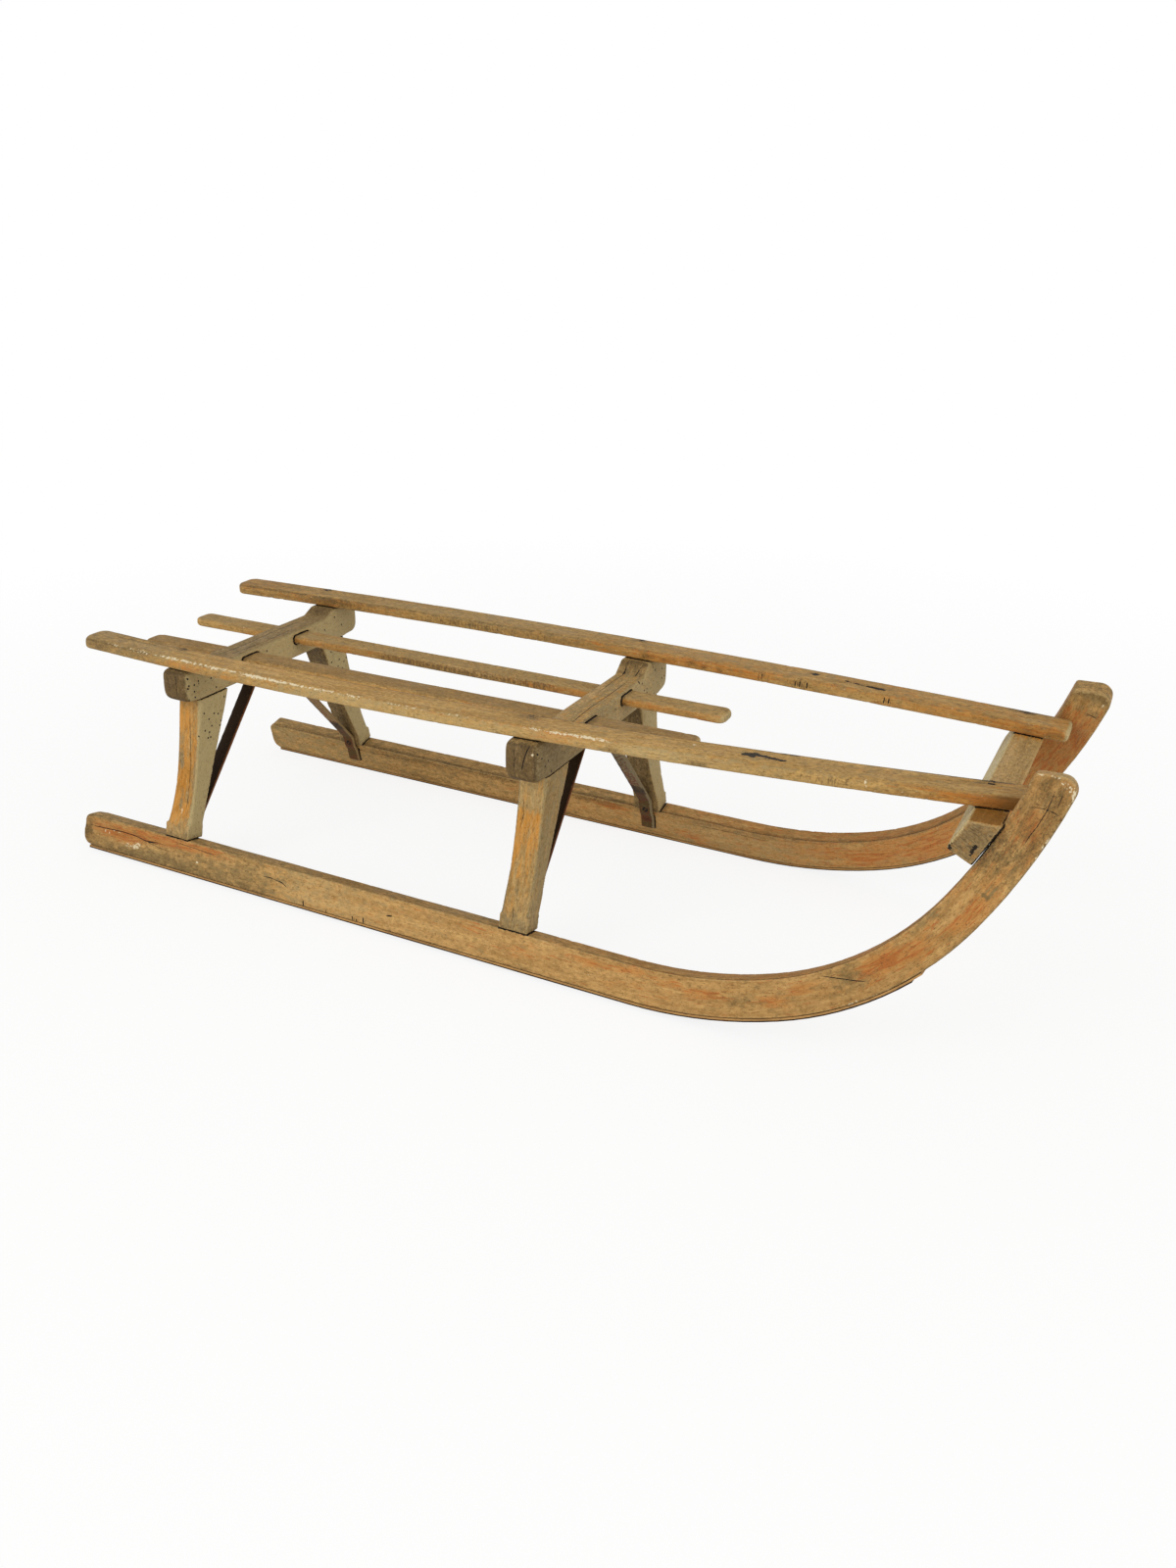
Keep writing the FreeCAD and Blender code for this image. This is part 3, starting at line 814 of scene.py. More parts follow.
BENT_ASH = OldVarnishedWood(
    "old_varnished_bent_ash", pale="c69d60", middle="ba9056", dark="aa8149",
    varnish="bd8040", old_varnish="ae602a")
FRAME_ASH = OldVarnishedWood(
    "old_varnished_frame_ash", pale="b79664", middle="a98a56", dark="967747",
    varnish="c8862f", old_varnish="a86f24", weathered="8a7a57")
SEAT_ASH = OldVarnishedWood("old_varnished_seat_ash", varnish="bc813a", weathered="9c865a")
STRIP_ASH = RustStainedWood("rust_stained_ash")
REAR_STRAP_IRON = RustedIron("rusted_strap_iron", rust="7d4a28")
FRONT_STRAP_IRON = RustedIron("rubbed_strap_iron", scale="54401f", rust="6e3d22", bloom_and_highlight="8c7f60")
SCREW_IRON = RustedIron("rusted_screw_iron", scale="241c16", rust="4a3322", bloom_and_highlight="5d564b",
                        metallic=0.3)
SOLE_IRON = RustedIron("rusted_sole_iron", scale="2a1b0f", rust="5e3819", bloom_and_highlight="4a3a28",
                       specular=0.1)


# Making a worn piece from its solid

WELD = 2e-6                          # corners of a solid that lie this near are one, in metres
ROUNDING_VOXEL = 1.2                 # mesh size for which a rounding's rounds are given, in mm
ARRIS_ROUNDS, ARRIS_BULGE = 5, 0.42  # an arris stands this share of a voxel off the smooth shape
CRACK_REACH, CRACK_LIP = 3.2, 1.6    # from a crack's line to where its drawing and its groove end
CRACK_OVERRUN = 0.6                  # how far past its last point a crack is drawn, in mm
CRACK_TAPER, CRACK_THINNEST = 6, 0.15    # how fast a crack narrows, and to which share
CRACK_FACING = 0.3                   # a crack stops where the surface turns away by more
FAR = 9.0                            # distance written where there is no crack, in mm
SEED_SHIFT = 40.0                    # keeps the patterns of two pieces apart, in mm
END_GAIN, END_START = 3, 1.8         # a surface shows end grain where it looks along the grain
UNEVEN_SIZES = ((48.0, 16.0, 16.0), (15.0, 5.0, 5.0), (7.0, 4.5, 4.5), (3.0, 2.2, 2.2),
                (30.0, 12.0, 12.0))  # of planed hollows, ripples, nicks, small nicks, soft rubbing
PLANE_SHARE, RIPPLE_SHARE = 0.65, 0.35
SMALL_NICKS, NICK_START = 0.6, 0.55  # what the small nicks add, and where a nick begins


class Neighbours:
    """Which vertices of a mesh an edge joins."""

    def __init__(self, mesh: bpy.types.Mesh) -> None:
        """Read the mesh's edges.

        Args:
            mesh: the mesh to look at.
        """
        self.count = len(mesh.vertices)
        edges = np.empty(len(mesh.edges) * 2, dtype=np.int64)
        mesh.edges.foreach_get("vertices", edges)
        self.first, self.second = edges.reshape(-1, 2).T
        self.degree = np.maximum(np.bincount(edges, minlength=self.count), 1)

    def mean(self, values: np.ndarray) -> np.ndarray:
        """Give each vertex the mean of its neighbours' values.

        Args:
            values: numbers for each vertex, one row each.

        Returns:
            The means, one row for each vertex.
        """
        columns = []
        for column in values.T:
            total = np.bincount(self.first, weights=column[self.second], minlength=self.count)
            total += np.bincount(self.second, weights=column[self.first], minlength=self.count)
            columns.append(total / self.degree)
        return np.stack(columns, axis=1)


def solid_tree(node: str) -> BVHTree:
    """A solid's faces, ready to be searched.

    Args:
        node: the solid's name.

    Returns:
        The search tree, in metres.
    """
    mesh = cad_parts[node].data
    return BVHTree.FromPolygons([vertex.co for vertex in mesh.vertices],
                                [polygon.vertices for polygon in mesh.polygons])


def corners(node: str) -> np.ndarray:
    """A solid's vertices in mm, one row each."""
    return np.array([vertex.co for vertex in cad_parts[node].data.vertices]) / MM


@dataclass
class WornPiece:
    """A dense copy of one solid with uneven faces, rubbed arrises, stains and cracks."""

    node: str
    slot: str
    finish: Finish
    grain: Grain
    voxel: float
    seed: int
    marks: tuple[Mark, ...] = ()
    cracks: tuple[Crack, ...] = ()
    roundings: tuple[Rounding, ...] = ()
    uneven: float = 0.16
    rub: float = 0.35
    chip: float = 1.1
    soften: int = 0
    end_grain: float = 0.55
    touching: tuple[str, ...] = ()
    joint_reach: float = 1.9
    joint_level: float = 1.05

    def copy_solid(self) -> tuple[bpy.types.Object, BVHTree]:
        """Copy the solid as a fine even mesh.

        Returns:
            The new object and the solid's own faces, to fit the mesh to.
        """
        faces = bmesh.new()
        faces.from_mesh(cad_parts[self.node].data)
        bmesh.ops.remove_doubles(faces, verts=faces.verts, dist=WELD)
        shell = bpy.data.meshes.new(self.node + "_shell")
        faces.to_mesh(shell)
        tree = BVHTree.FromBMesh(faces)
        faces.free()
        piece = bpy.data.objects.new(self.node + "_worn", shell)
        bpy.context.scene.collection.objects.link(piece)
        remesh = piece.modifiers.new("even", "REMESH")
        remesh.mode = "VOXEL"
        remesh.voxel_size = self.voxel * MM * 1.0
        graph = bpy.context.evaluated_depsgraph_get()
        dense = bpy.data.meshes.new_from_object(piece.evaluated_get(graph))
        piece.modifiers.clear()
        piece.data = dense
        dense.name = self.node + "_worn"
        bpy.data.meshes.remove(shell)
        return piece, tree

    def make(self) -> None:
        """Make the piece, wear it and hand it to the frame."""
        piece, solid = self.copy_solid()
        mesh = piece.data
        near = Neighbours(mesh)
        flat = np.empty(near.count * 3)
        mesh.vertices.foreach_get("co", flat)
        fitted = [solid.find_nearest(Vector(point))[0] for point in flat.reshape(-1, 3)]
        points = self.rounded(np.array(fitted) / MM, near)
        mesh.vertices.foreach_set("co", (points * MM).ravel())
        mesh.update()
        mesh.vertices.foreach_get("normal", flat)
        normals = flat.reshape(-1, 3)
        smooth = points
        for _ in range(ARRIS_ROUNDS):
            smooth = near.mean(smooth)
        bulge = np.einsum("ij,ij->i", points - smooth, normals)
        arris = np.clip(bulge / (self.voxel * ARRIS_BULGE), 0.0, 1.0)
        places = self.grain.places(points)
        facing = self.grain.directions(points, normals)
        crack, groove = self.split(places, facing)
        amounts = self.stained(places, facing)
        amounts["wear"][:, 2] += arris
        # the black rims of the joints are painted shade of the gaps between parts
        amounts["wear"][:, 1] += self.joint_shade(points)
        amounts["crack"][:, :2] = crack
        points = points - normals * (self.worn_off(places, arris) + groove)[:, None]
        mesh.vertices.foreach_set("co", (points * MM).ravel())
        for name, rows in amounts.items():
            layer = mesh.attributes.new(name, "FLOAT_VECTOR", "POINT")
            layer.data.foreach_set("vector", rows.astype(np.float32).ravel())
        mesh.polygons.foreach_set("use_smooth", np.ones(len(mesh.polygons), dtype=bool))
        mesh.update()
        mesh.materials.clear()
        mesh.materials.append(self.finish.material())
        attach(piece, "root")
        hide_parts(self.node)
        log.info("%s: %d vertices, %d faces", piece.name, near.count, len(mesh.polygons))

    def rounded(self, points: np.ndarray, near: Neighbours) -> np.ndarray:
        """Smooth the whole piece and then its roundings.

        Args:
            points: the vertices in mm.
            near: which of them are neighbours.

        Returns:
            The vertices in their new places, in mm.
        """
        for _ in range(self.soften):
            points = 0.5 * points + 0.5 * near.mean(points)
        for rounding in self.roundings:
            share = 0.5 * rounding.share(self.grain.places(points))[:, None]
            for _ in range(round(rounding.rounds * (ROUNDING_VOXEL / self.voxel) ** 2)):
                points = points + share * (near.mean(points) - points)
        return points

    def stained(self, places: np.ndarray, facing: np.ndarray) -> dict[str, np.ndarray]:
        """Lay the marks and the open end grain on the piece.

        Args:
            places: grain places of the vertices, in mm.
            facing: their normals in the grain frame.

        Returns:
            The attributes that the finish reads, with three numbers for each vertex.
        """
        amounts = {name: np.zeros((len(places), 3)) for name in ("tint", "wear", "crack", "rot")}
        for mark in self.marks:
            name, part = mark.tint.value
            amounts[name][:, part] += mark.amount(places, facing)
        amounts["crack"][:, 2] += self.end_grain * np.clip(
            np.abs(facing[:, 0]) * END_GAIN - END_START, 0, 1)
        amounts["grain"] = places + SEED_SHIFT * self.seed
        return amounts

    def worn_off(self, places: np.ndarray, arris: np.ndarray) -> np.ndarray:
        """Plane the faces uneven, and rub and nick the arrises.

        Args:
            places: grain places of the vertices, in mm.
            arris: how sharp each vertex stands out, from 0 to 1.

        Returns:
            How much wood or iron is gone at each vertex, in mm.
        """
        plane, ripple, nick, small_nick, soft = (
            lattice_noise(places, size, self.seed + number)
            for number, size in enumerate(UNEVEN_SIZES))
        nick = nick + SMALL_NICKS * small_nick
        depth = self.uneven * (PLANE_SHARE * (0.5 + 0.5 * plane)
                               + RIPPLE_SHARE * (0.5 + 0.5 * ripple))
        depth += arris * (0.5 + 0.5 * soft) * self.rub
        return depth + arris * np.clip(nick - NICK_START, 0.0, 1.0) * self.chip

    def joint_shade(self, points: np.ndarray) -> np.ndarray:
        """Blacken the rims of the joints with painted shade of the gaps between touching parts.

        Args:
            points: the vertices in mm.

        Returns:
            How black each of them gets.
        """
        grime_and_shade = np.zeros(len(points))
        for name in self.touching:
            tree = solid_tree(name)
            for number, point in enumerate(points):
                away = tree.find_nearest(Vector(point) * MM, self.joint_reach * MM)[3]
                if away is not None:
                    level = self.joint_level * (1.0 - away / MM / self.joint_reach)
                    grime_and_shade[number] = max(grime_and_shade[number], level)
        return grime_and_shade

    def split(self, places: np.ndarray, facing: np.ndarray) -> tuple[np.ndarray, np.ndarray]:
        """Lay the cracks on the piece.

        Args:
            places: grain places of the vertices, in mm.
            facing: their normals in the grain frame.

        Returns:
            For each vertex the signed distance to the nearest crack with the crack's half width
            there, and how deep the crack cuts in.
        """
        rows = np.zeros((len(places), 2))
        rows[:, 0] = FAR
        groove = np.zeros(len(places))
        for crack in self.cracks:
            flat = places[:, [axis for axis in range(3) if not crack.face.value[axis]]]
            visible = on_face(facing, crack.face) > CRACK_FACING
            line = np.array(crack.points)
            lengths = np.linalg.norm(np.diff(line, axis=0), axis=1)
            walked = np.concatenate([[0.0], np.cumsum(lengths)])
            for number, run in enumerate(lengths):
                step = (line[number + 1] - line[number]) / run
                arm = flat - line[number]
                ahead = arm @ step
                beside = arm[:, 0] * step[1] - arm[:, 1] * step[0]
                away = np.abs(beside)
                share = (walked[number] + np.clip(ahead, 0, run)) / walked[-1]
                taper = crack.half_width * np.clip(np.minimum(share, 1 - share) * CRACK_TAPER,
                                                   CRACK_THINNEST, 1.0)
                near = (visible & (ahead > -CRACK_OVERRUN) & (ahead < run + CRACK_OVERRUN)
                        & (away < CRACK_REACH) & (away < np.abs(rows[:, 0])))
                rows[near, 0] = beside[near]
                rows[near, 1] = taper[near]
                cut = np.clip(1 - away / CRACK_LIP, 0, 1) * crack.depth * taper / crack.half_width
                groove = np.where(near, np.maximum(groove, cut), groove)
        return rows, groove


@dataclass
class ScrewHead:
    """The slotted head of a countersunk iron screw."""

    place: Vector
    normal: Vector
    turn: float
    radius: float = 4.0
    slot_width: float = 1.1
    slot_depth: float = 0.9
    thickness: float = 1.4
    edge_drop: float = 0.12
    flat_share: float = 0.90
    rim_share: float = 0.98
    steps: int = 28

    def build(self, mesh: bmesh.types.BMesh) -> None:
        """Add the head's two lands and the bottom of its slot to a mesh.

        Args:
            mesh: the mesh that takes the head.
        """
        turn = (self.normal.normalized().to_track_quat("Z", "Y").to_matrix()
                @ Matrix.Rotation(self.turn, 3, "Z"))
        start = math.asin(self.slot_width / 2 / self.radius)
        land = np.linspace(start, math.pi - start, self.steps // 2 + 1)
        whole = np.linspace(0, 2 * math.pi, self.steps, False)
        for angles, top in ((land, 0.0), (land + math.pi, 0.0), (whole, -self.slot_depth)):
            rim = np.stack([np.cos(angles), np.sin(angles)], axis=1)
            middle = rim.mean(axis=0)
            rings = []
            for share, level in ((self.flat_share, top), (self.rim_share, top - self.edge_drop),
                                 (self.rim_share, -self.thickness)):
                ring = (middle + (rim - middle) * share) * self.radius
                rings.append([mesh.verts.new((self.place + turn @ Vector((x, y, level))) * MM)
                              for x, y in ring])
            mesh.faces.new(rings[0])
            mesh.faces.new(rings[-1][::-1])
            for upper, lower in zip(rings, rings[1:]):
                for at in range(len(upper)):
                    mesh.faces.new((upper[at - 1], lower[at - 1], lower[at], upper[at]))


def surface_under(node: str, place: Vector, look: Vector) -> tuple[Vector, Vector]:
    """Find where a line of sight first meets a solid.

    Args:
        node: the solid's name.
        place: a point outside it, in mm.
        look: the direction to look in.

    Returns:
        The point met in mm and the face's normal.
    """
    point, normal, _, _ = solid_tree(node).ray_cast(place * MM, look.normalized())
    return point / MM, normal


@dataclass
class Screws:
    """The screws that hold the outer slats and the ends of the straps."""

    slat_turns: tuple[float, ...] = (0.4, 2.6, 0.9, 0.2, 0.7, 1.9)
    sunk: float = 0.1
    above: float = 30.0
    strap_height: float = 42.0
    strap_look: tuple[float, float] = (60.0, 20.0)
    strap_turn: float = 0.9
    strap_radius: float = 3.4
    proud: float = 0.4

    def slat_heads(self) -> list[ScrewHead]:
        """The three heads on top of each outer slat.

        Returns:
            The heads, with their places in mm.
        """
        heads, turns = [], iter(self.slat_turns)
        for side, name in SIDES:
            node = "slat_outer_" + name
            rim = corners(node)
            line = np.polyfit(rim[:, 0], side * rim[:, 1], 2)
            for station in SCREW_STATIONS:
                x = station + TAIL_X
                y = side * (float(np.polyval(line, x)) + SCREW_OFFSETS[side])
                point, normal = surface_under(node, Vector((x, y, rim[:, 2].max() + self.above)),
                                              Vector((0, 0, -1)))
                heads.append(ScrewHead(point - normal * self.sunk, normal, next(turns)))
        return heads

    def strap_heads(self) -> list[ScrewHead]:
        """The head at each end of each strap.

        Returns:
            The heads, with their places in mm.
        """
        heads = []
        for side, _ in SIDES:
            for end, station in ENDS:
                inside, outside = (leaned_point(station, inward, self.strap_height, side)
                                   for inward in self.strap_look)
                point, normal = surface_under("brace_" + end, inside, outside - inside)
                heads.append(ScrewHead(point + normal * self.proud, normal, self.strap_turn,
                                       self.strap_radius))
        return heads

    def make(self) -> None:
        """Make both sets of screw heads."""
        for name, heads in (("slat_screws", self.slat_heads()),
                            ("strap_screws", self.strap_heads())):
            mesh = bmesh.new()
            for head in heads:
                head.build(mesh)
            data = bpy.data.meshes.new(name)
            mesh.to_mesh(data)
            mesh.free()
            piece = bpy.data.objects.new(name, data)
            bpy.context.scene.collection.objects.link(piece)
            data.materials.append(SCREW_IRON.material())
            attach(piece, "root")
            log.info("%s: %d heads", name, len(heads))


# The sled's sub-assemblies

@dataclass
class Runners:
    """The two steam-bent runners: places run from the tail, inward from the outer face, up."""

    voxel: float = 1.5
    top: float = 38.0
    inner_face: float = 20.3

    def right_marks(self) -> tuple[Mark, ...]:
        """Stains of the right runner, whose outer face is the most worn.

        Returns:
            The stains, in the piece's grain frame.
        """
        return (
            Course(ORANGE, (0, 200, 260, 520, 660, 800, 1000, 1060, 1130),
                   (0.05, 0.08, 0.08, 0.18, 0.28, 0.3, 0.38, 0.42, 0.42), MINUS),
            Course(GREY, (0, 230, 330, 600, 900, 1030, 1060, 1145),
                   (0.55, 0.5, 0.14, 0.0, 0.04, 0.04, 0.2, 0.2), MINUS),
            Course(BROWN,
                   (0, 60, 140, 230, 300, 690, 725, 790, 905, 960, 1028, 1036, 1060, 1100, 1145),
                   (0.36, 0.2, 0.16, 0.12, 0.0, 0.04, 0.12, 0.18, 0.24, 0.14, 0.12, 0.08, 0.08,
                    0.24, 0.28), MINUS),
            Course(PALE, (230, 300, 420, 560), (0.0, 0.28, 0.12, 0.0), MINUS),
            Course(DIRT, (0, 230, 300, 1032, 1040, 1080, 1145),
                   (0.15, 0.12, 0.0, 0.0, 0.2, 0.24, 0.2), MINUS),
            Course(BROWN, (0, 250, 350, 420, 550, 680, 1130),
                   (0.08, 0.08, 0.24, 0.2, 0.05, 0.24, 0.35), UPPER),
            Course(SAWN, (-5, 6, 12), (-0.5, -0.5, 0.0), TAIL),
            Course(GREY, (0, 500, 600, 700, 1130), (0.62, 0.55, 0.38, 0.28, 0.3), UPPER),
            Course(DIRT, (0, 500, 600, 1130), (0.18, 0.16, 0.06, 0.12), UPPER),
            Course(ORANGE, (0, 500, 620, 900, 1130), (0.1, 0.15, 0.4, 0.55, 0.4), UPPER),
            Course(ORANGE, (0, 300, 800, 1130), (0.15, 0.3, 0.6, 0.45), PLUS),
            Course(GREY, (0, 500, 1130), (0.5, 0.35, 0.2), PLUS),
            Wash(DIRT, 0.55, LOWER),
        ) + spots(ORANGE, MINUS, 0.0, (
            (75, 30, 75, 10, 0.85), (165, 33, 55, 8, 0.7), (50, 20, 40, 10, 0.55),
            (434, 35, 20, 3, 0.35), (496, 31, 26, 8, 0.42), (560, 22, 40, 9, 0.15),
            (623, 29, 30, 6, 0.38), (670, 33, 24, 5, 0.35), (706, 29, 18, 5, 0.5),
            (741, 23, 24, 6, 0.62), (806, 18, 18, 6, 0.42), (832, 26, 14, 6, 0.4),
            (916, 24, 32, 9, 0.85), (950, 20, 20, 8, 0.45), (1008, 13, 24, 9, 0.42),
            (1094, 23, 15, 9, 0.55),
        )) + spots(GREY, MINUS, 0.0, (
            (75, 30, 80, 11, -0.6), (165, 34, 60, 8, -0.45), (50, 20, 42, 9, -0.3),
            (105, 10, 70, 9, 0.35), (215, 16, 50, 16, 0.2), (777, 22, 28, 11, 0.42),
            (882, 26, 28, 14, 0.62), (975, 34, 50, 7, 0.35), (1060, 25, 34, 18, 0.3),
            (1128, 20, 18, 20, 0.15),
        )) + spots(DIRT, MINUS, 0.0, (
            (3, 20, 12, 20, 0.55), (60, 6, 60, 5, 0.4), (150, 8, 60, 7, 0.32),
            (239, 6, 34, 8, 0.42), (300, 20, 60, 16, 0.12), (777, 22, 26, 11, 0.12),
            (882, 26, 28, 14, 0.14), (1062, 26, 32, 18, 0.36), (1050, 36, 30, 5, 0.35),
            (1088, 8, 28, 8, 0.32), (1122, 20, 34, 22, 0.34), (560, 6, 90, 3, 0.2),
            (985, 5, 40, 5, 0.4), (905, 5, 40, 4, 0.3),
        )) + spots(WHITE, MINUS, 1.0, (
            (66, 15, 13, 4, 0.5), (80, 19, 6, 3.5, 0.6), (76, 15, 5, 2, 0.6),
            (161.4, 17.6, 1.8, 1.8, 1.2), (32, 24, 4, 2, 0.5), (44, 27, 1.6, 1.4, 0.8),
            (52, 26, 1.6, 1.4, 0.8), (38, 23, 1.6, 1.4, 0.7), (875, 3.2, 9, 2.0, 0.62),
            (892, 2.8, 10, 1.8, 0.6), (905, 2.5, 8, 1.6, 0.55), (927, 3.2, 3, 1.6, 0.7),
            (1129, 3.6, 6, 2.0, 0.6), (1111, 3.8, 5, 1.7, 0.5), (1092, 4.0, 5, 1.9, 0.6),
            (1085, 3.9, 4, 1.7, 0.6), (1076, 4.0, 3, 1.6, 0.6), (1070, 2.8, 3, 1.5, 0.55),
            (1058, 3.8, 3, 1.5, 0.6), (1037, 3.2, 3, 1.5, 0.6), (1138, 34, 4, 5, 0.75),
            (1140, 24, 3, 6, 0.6), (1137, 13, 3, 6, 0.55), (1134, 6, 4, 4, 0.6),
        )) + spots(GREY, MINUS, 0.0, (
            (1026, 16, 1.6, 7, 0.9), (1028, 17, 9, 1.3, 0.9), (1030, 13, 9, 1.3, 0.9),
        )) + (seam(DIRT, 0.34, 1.4, 37.8, 2.8), seam(DIRT, 0.4, self.inner_face - 0.6, 37.6, 2.0),
              seam(DIRT, 0.34, 0.3, 3.4, 1.6),
              Course(PALE, (1100, 1137, 1142), (0.0, 0.0, 0.45)),
              Course(WHITE, (1100, 1140, 1148), (0.0, 0.0, 0.3)))

    def right_cracks(self) -> tuple[Crack, ...]:
        """Splits and scratches of the right runner's outer face, and painted shade lines along
        its upper arrises.

        Returns:
            The cracks, in the piece's grain frame.
        """
        return cracks(
            MINUS,
            (0.55, (3, 27), (18, 26), (38, 27), (58, 28), (75, 27.4), (89, 25), (105, 26.5),
             (122, 26)),
            (0.3, (90, 24.5), (108, 21.5), (126, 20.5)),
            (0.35, (128, 33), (158, 32), (190, 30)),
            (0.5, (248, 23), (258, 23.3), (273, 21.6), (281, 17.2)),
            (0.75, (401, 18.4), (408, 19.5)),
            (0.8, (300.6, 9.5), (301, 2.6)), (0.55, (329, 7), (329.5, 2.4)),
            (0.7, (361, 8), (362, 3)), (0.7, (366, 6.5), (367, 2.4)), (0.75, (374, 10), (375, 3)),
            (0.48, (856, 33.7), (866, 30), (876, 25.8), (886, 21), (897, 16.1)),
            (0.34, (1107, 29), (1110, 25), (1112.3, 18.3), (1113.4, 12), (1113, 6)),
            (0.38, (1129, 18), (1112, 16.4), (1097, 16.3), (1087, 17.1), (1078, 16.6)),
            (0.3, (1130, 12), (1118, 11)),
        ) + (self.shaded_arris_line(self.inner_face - 1.2, 150.0, 560.0),
             self.shaded_arris_line(1.3, 560.0, 1108.0))

    def shaded_arris_line(self, across: float, start: float, end: float) -> Crack:
        """A painted line of shade along a worn upper arris, wandering a little.

        Args:
            across: how far inward the line lies, in mm.
            start: where it starts along the runner, in mm.
            end: where it ends, in mm.

        Returns:
            The line as a very shallow crack.
        """
        stations = np.arange(start, end, 16.0)
        wander = lattice_noise(np.stack([stations] * 3, axis=1), (60.0, 60.0, 60.0), 5)
        return Crack(UPPER, 0.3, tuple(zip(stations, across + 0.35 * wander)), 0.12)

    def left_marks(self) -> tuple[Mark, ...]:
        """Stains of the left runner, whose inner face is seen.

        Returns:
            The stains, in the piece's grain frame.
        """
        return (
            Course(ORANGE, (0, 200, 450, 560, 700, 850, 1000, 1120, 1140),
                   (0.05, 0.12, 0.25, 0.34, 0.48, 0.62, 0.68, 0.7, 0.2), PLUS),
            Course(GREY, (0, 200, 450, 560, 1118, 1124, 1145),
                   (0.52, 0.42, 0.18, 0.0, 0.0, 0.3, 0.45), PLUS),
            Course(PALE, (0, 100, 250, 500, 580, 690, 780),
                   (0.15, 0.2, 0.0, 0.08, 0.26, 0.34, 0.1), PLUS),
            Course(GREY, (0, 500, 600, 700, 1130), (0.55, 0.42, 0.22, 0.22, 0.28), UPPER),
            Course(ORANGE, (0, 500, 600, 800, 1130), (0.15, 0.22, 0.42, 0.6, 0.45), UPPER),
            Course(DIRT, (0, 500, 600, 1130), (0.2, 0.18, 0.06, 0.08), UPPER),
            Course(BROWN, (0, 600, 760, 1130), (0.05, 0.05, 0.28, 0.35), UPPER),
            Course(BROWN, (0, 1020, 1060, 1145), (0.0, 0.0, 0.24, 0.3), PLUS),
            Course(ORANGE, (0, 400, 1130), (0.25, 0.4, 0.4), MINUS),
            Course(GREY, (0, 400, 1130), (0.45, 0.3, 0.3), MINUS),
            Wash(DIRT, 0.55, LOWER),
        ) + spots(ORANGE, PLUS, self.inner_face, (
            (494, 31, 26, 4, 0.75), (596, 13, 22, 5, 0.5), (812, 19, 40, 9, 0.35),
            (880, 20, 30, 10, 0.35), (1080, 20, 40, 14, 0.15),
        )) + spots(DIRT, PLUS, self.inner_face, (
            (5, 20, 12, 20, 0.4), (300, 14, 90, 10, 0.18), (540, 6, 60, 5, 0.28),
            (720, 34, 60, 4, 0.22), (1124, 20, 3, 20, 0.4), (1135, 7, 8, 4, 0.3),
            (200, 31, 70, 6, 0.45), (340, 33, 110, 5, 0.5), (480, 32, 60, 6, 0.5),
            (430, 6, 60, 6, 0.42), (610, 34, 60, 4, 0.28), (650, 5, 60, 4, 0.22),
            (760, 8, 50, 5, 0.3), (230, 8, 60, 6, 0.35),
        )) + spots(WHITE, PLUS, self.inner_face, (
            (1138, 9, 3, 2.5, 0.55), (109, 27, 2, 1.5, 0.5),
        )) + (seam(DIRT, 0.5, self.inner_face - 2.2, 37.8, 4.4),
              seam(DIRT, 0.35, self.inner_face - 0.3, 3.6, 1.6),
              seam(DIRT, 0.35, 0.3, 37.2, 1.6),
              Course(GREY, (1100, 1138, 1143), (0.0, 0.0, 0.5)))

    def left_cracks(self) -> tuple[Crack, ...]:
        """Splits and scratches of the left runner, and a painted shade line along its upper arris.

        Returns:
            The cracks, in the piece's grain frame.
        """
        return cracks(
            PLUS,
            (0.4, (1124, 17), (1123.5, 7)),
            (0.3, (120, 30), (160, 29), (205, 31)),
            (0.3, (590, 30), (640, 31.5), (690, 30)),
        ) + cracks(
            MINUS,
            (0.4, (20, 22), (80, 24), (150, 22), (190, 24)),
            (0.35, (600, 14), (680, 16), (740, 14)),
        ) + (self.shaded_arris_line(self.inner_face - 1.6, 4.0, 1108.0),)

    def make(self) -> None:
        """Make both runners."""
        worn_tail = Rounding((0.0, 10.0, 36.0), (15.0, 60.0, 16.0), 26)
        WornPiece("runner_right", "bent_wood", BENT_ASH, BentGrain(-1), self.voxel, 11,
                  self.right_marks(), self.right_cracks(), (worn_tail,),
                  touching=("leg_rear_right", "leg_front_right", "front_rail")).make()
        WornPiece("runner_left", "bent_wood", BENT_ASH, BentGrain(1), self.voxel, 12,
                  self.left_marks(), self.left_cracks(),
                  touching=("leg_rear_left", "leg_front_left", "front_rail", "brace_rear",
                            "brace_front")).make()


